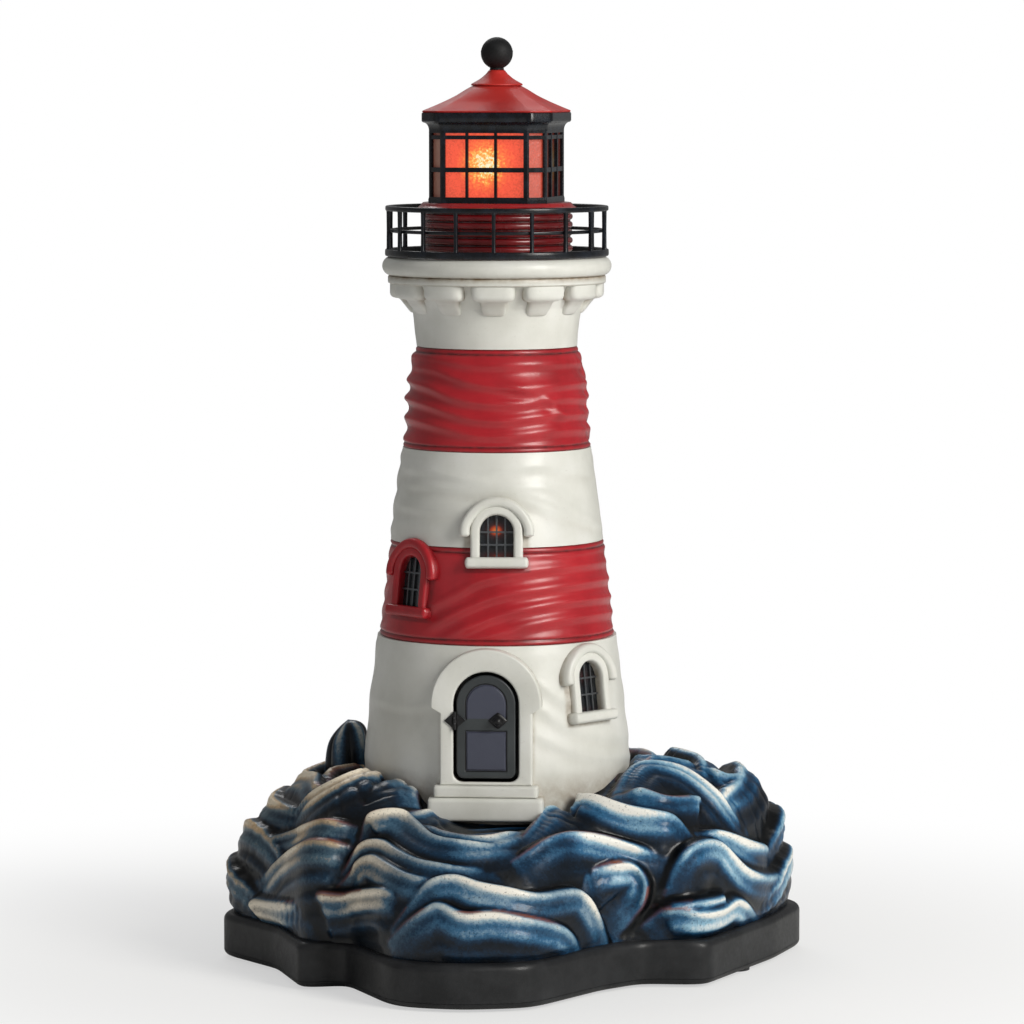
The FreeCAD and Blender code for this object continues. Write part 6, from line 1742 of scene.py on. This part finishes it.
ball_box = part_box("finial_ball")
ball_radius = (ball_box[1].x - ball_box[0].x) / 2 / MM
ball_z = ball_box[1].z / MM - ball_radius
neck_start = ball_box[0].z / MM
t = np.linspace(math.radians(-62), math.pi / 2, 60)
ball = np.stack([ball_radius * np.cos(t), ball_z + ball_radius * np.sin(t)], axis=-1)
ball[-1, 0] = 0
SEAM_TALL = 0.10
ball[:, 0] += SEAM_TALL * np.exp(-((t - 0.12) / 0.03) ** 2)
ball_outline = np.concatenate([[(0, neck_start)], [(2.9, neck_start)], [(2.6, neck_start + 0.6)], ball])
points, faces = turn(ball_outline, closed=False, steps=128)
make_piece("finial_ball_cast", points, faces, "ball_black", replaces=["finial_ball"], body="roof",
           poles=True, crease=60)

# %% [markdown]
# ## Knob
# The lock plate is a small pyramid-faced diamond with a round knob on a waist.
#
# %% Lock plate and knob
KNOB_X = 4.6
KNOB_Z = LEAF_LOW + 22.3
KNOB_STEPS = 64
PLATE_HALF = (3.7, 3.15)         # half the plate's width and height
t = np.linspace(0, 2 * np.pi, KNOB_STEPS, endpoint=False)
diamond = 1 / (np.abs(np.cos(t)) ** 1.15 + np.abs(np.sin(t)) ** 1.15) ** (1 / 1.15)
plate_rows = [(0.0, 0.0), (1.0, 0.0), (1.0, 0.35), (0.93, 0.6), (0.55, 0.85), (0.0, 0.95)]
plate = np.stack([np.stack([KNOB_X + PLATE_HALF[0] * scale * diamond * np.cos(t),
                            np.full(KNOB_STEPS, -LEAF_FRONT - rise_mm),
                            KNOB_Z + PLATE_HALF[1] * scale * diamond * np.sin(t)], axis=-1)
                  for scale, rise_mm in plate_rows])
make_piece("knob_plate_faceted", on_door(plate).reshape(-1, 3), grid_faces(len(plate_rows), KNOB_STEPS),
           "hinge_black", replaces=["knob_plate"], body="door", poles=True, crease=40)
arc = np.linspace(-1.1, np.pi / 2, 20)
knob_profile = np.concatenate([[(0, 0.5), (1.3, 0.5), (0.95, 1.1), (0.9, 1.4)],
                               np.stack([1.6 * np.cos(arc), 2.95 + 1.45 * np.sin(arc)], axis=-1)])
knob_profile[-1, 0] = 0
knob = np.stack([KNOB_X + knob_profile[:, :1] * np.cos(t)[None, :],
                 -LEAF_FRONT - knob_profile[:, 1:] + 0 * t[None, :],
                 KNOB_Z + knob_profile[:, :1] * np.sin(t)[None, :]], axis=-1)
make_piece("door_knob_turned", on_door(knob).reshape(-1, 3), grid_faces(len(knob_profile), KNOB_STEPS),
           "hinge_black", replaces=["door_knob"], body="door", poles=True)

# %% [markdown]
# ## Pieces kept from the measured model
# The other pieces already have their right shape, so they keep their mesh and only take the finish
# of the slot that the record gives them.
#
# %% Finishes for the kept pieces
for part in frame["record"]["subparts"]:
    piece = nodes[part["node"]]
    finish = materials[part["material_slot"]]
    piece.data.materials.clear()
    piece.data.materials.append(finish)
print("finished", len(nodes), "measured pieces")

# %% [markdown]
# ## Light
# The photograph has a soft window-like light from the right, a weak one from the left, and a pure
# white ground. A big area lamp stands at the right, a fainter one at the left, one behind lights
# the edges, and an even pale sky does the rest.
#
# %% Studio
scene = bpy.context.scene
scene.view_settings.view_transform = "Standard"


def area_light(name, place, aim, size, watts, colour):
    """A rectangular lamp at place that faces aim; places and sizes are in metres."""
    light = bpy.data.lights.new(name, "AREA")
    light.shape = "RECTANGLE"
    light.size = size[0]
    light.size_y = size[1]
    light.energy = watts
    light.color = linear(colour)[:3]
    lamp = bpy.data.objects.new(name, light)
    lamp.location = place
    lamp.rotation_euler = (Vector(aim) - Vector(place)).to_track_quat("-Z", "Y").to_euler()
    scene.collection.objects.link(lamp)


def seen_white(tree):
    """1 for the camera's own rays and those that pass through glass, else 0."""
    camera_ray = add(tree, "LightPath", out="Is Camera Ray")
    glass_ray = add(tree, "LightPath", out="Is Transmission Ray")
    return add(tree, "Math", {0: camera_ray, 1: glass_ray}, operation="MAXIMUM")


area_light("key", (1.05, -1.0, 0.85), (0, 0, 0.17), (0.55, 0.9), 20.5, "#FFFDF8")
area_light("side_fill", (-1.3, -1.1, 0.5), (0, 0, 0.15), (0.8, 1.0), 0.5, "#F2F5FF")
area_light("back_top", (-0.2, 1.1, 1.2), (0, 0, 0.2), (0.9, 0.5), 5.0, "#FFFFFF")

SKY = 0.21                       # how strongly the sky lights the ornament
world = bpy.data.worlds.new("studio")
world.use_nodes = True
scene.world = world
tree = world.node_tree
sky = tree.nodes["Background"]
sky.inputs["Color"].default_value = (1, 1, 1, 1)
strength = add(tree, "Math", {0: seen_white(tree), 1: 1 - SKY, 2: SKY}, operation="MULTIPLY_ADD")
wire(tree, sky, Strength=strength)
print("lamps", [light.name for light in bpy.data.lights])

# %% [markdown]
# ## Floor
# The floor is plain and pale: near the ornament it is partly lit, so it keeps the shadow, and
# further out it is the white of the background.
#
# %% Floor
FLOOR_HALF = 12.0
FLOOR_LEVEL = -0.0001            # a hair under the feet, so the two faces don't share a plane
WHITE_FROM = 0.10                # metres from the middle where the floor begins to turn white
WHITE_TO = 0.42
floor_mesh = bpy.data.meshes.new("floor")
floor_mesh.from_pydata([(x * FLOOR_HALF, y * FLOOR_HALF, FLOOR_LEVEL)
                        for x, y in ((-1, -1), (1, -1), (1, 1), (-1, 1))], [], [(0, 1, 2, 3)])
floor = bpy.data.objects.new("floor", floor_mesh)
scene.collection.objects.link(floor)
floor_paper = bpy.data.materials.new("floor_paper")
floor_paper.use_nodes = True
tree = floor_paper.node_tree
surface = tree.nodes["Principled BSDF"]
surface.inputs["Base Color"].default_value = linear("#F4F4F2")
surface.inputs["Roughness"].default_value = 0.9
surface.inputs["Specular IOR Level"].default_value = 0.1
white = add(tree, "Emission", {"Color": (1, 1, 1, 1), "Strength": 1.0})
far = add(tree, "VectorMath", {0: add(tree, "TexCoord", out="Object")}, out="Value", operation="LENGTH")
fade = add(tree, "MapRange", {"Value": far, "From Min": WHITE_FROM, "From Max": WHITE_TO, "To Min": 0.55,
                              "To Max": 1.0}, interpolation_type="SMOOTHSTEP")
share_white = add(tree, "Math", {0: seen_white(tree), 1: fade}, operation="MULTIPLY")
blend = add(tree, "MixShader", {0: share_white, 1: surface.outputs[0], 2: white})
wire(tree, tree.nodes["Material Output"], Surface=blend)
floor_mesh.materials.append(floor_paper)
print("floor", 2 * FLOOR_HALF, "m wide")

import json
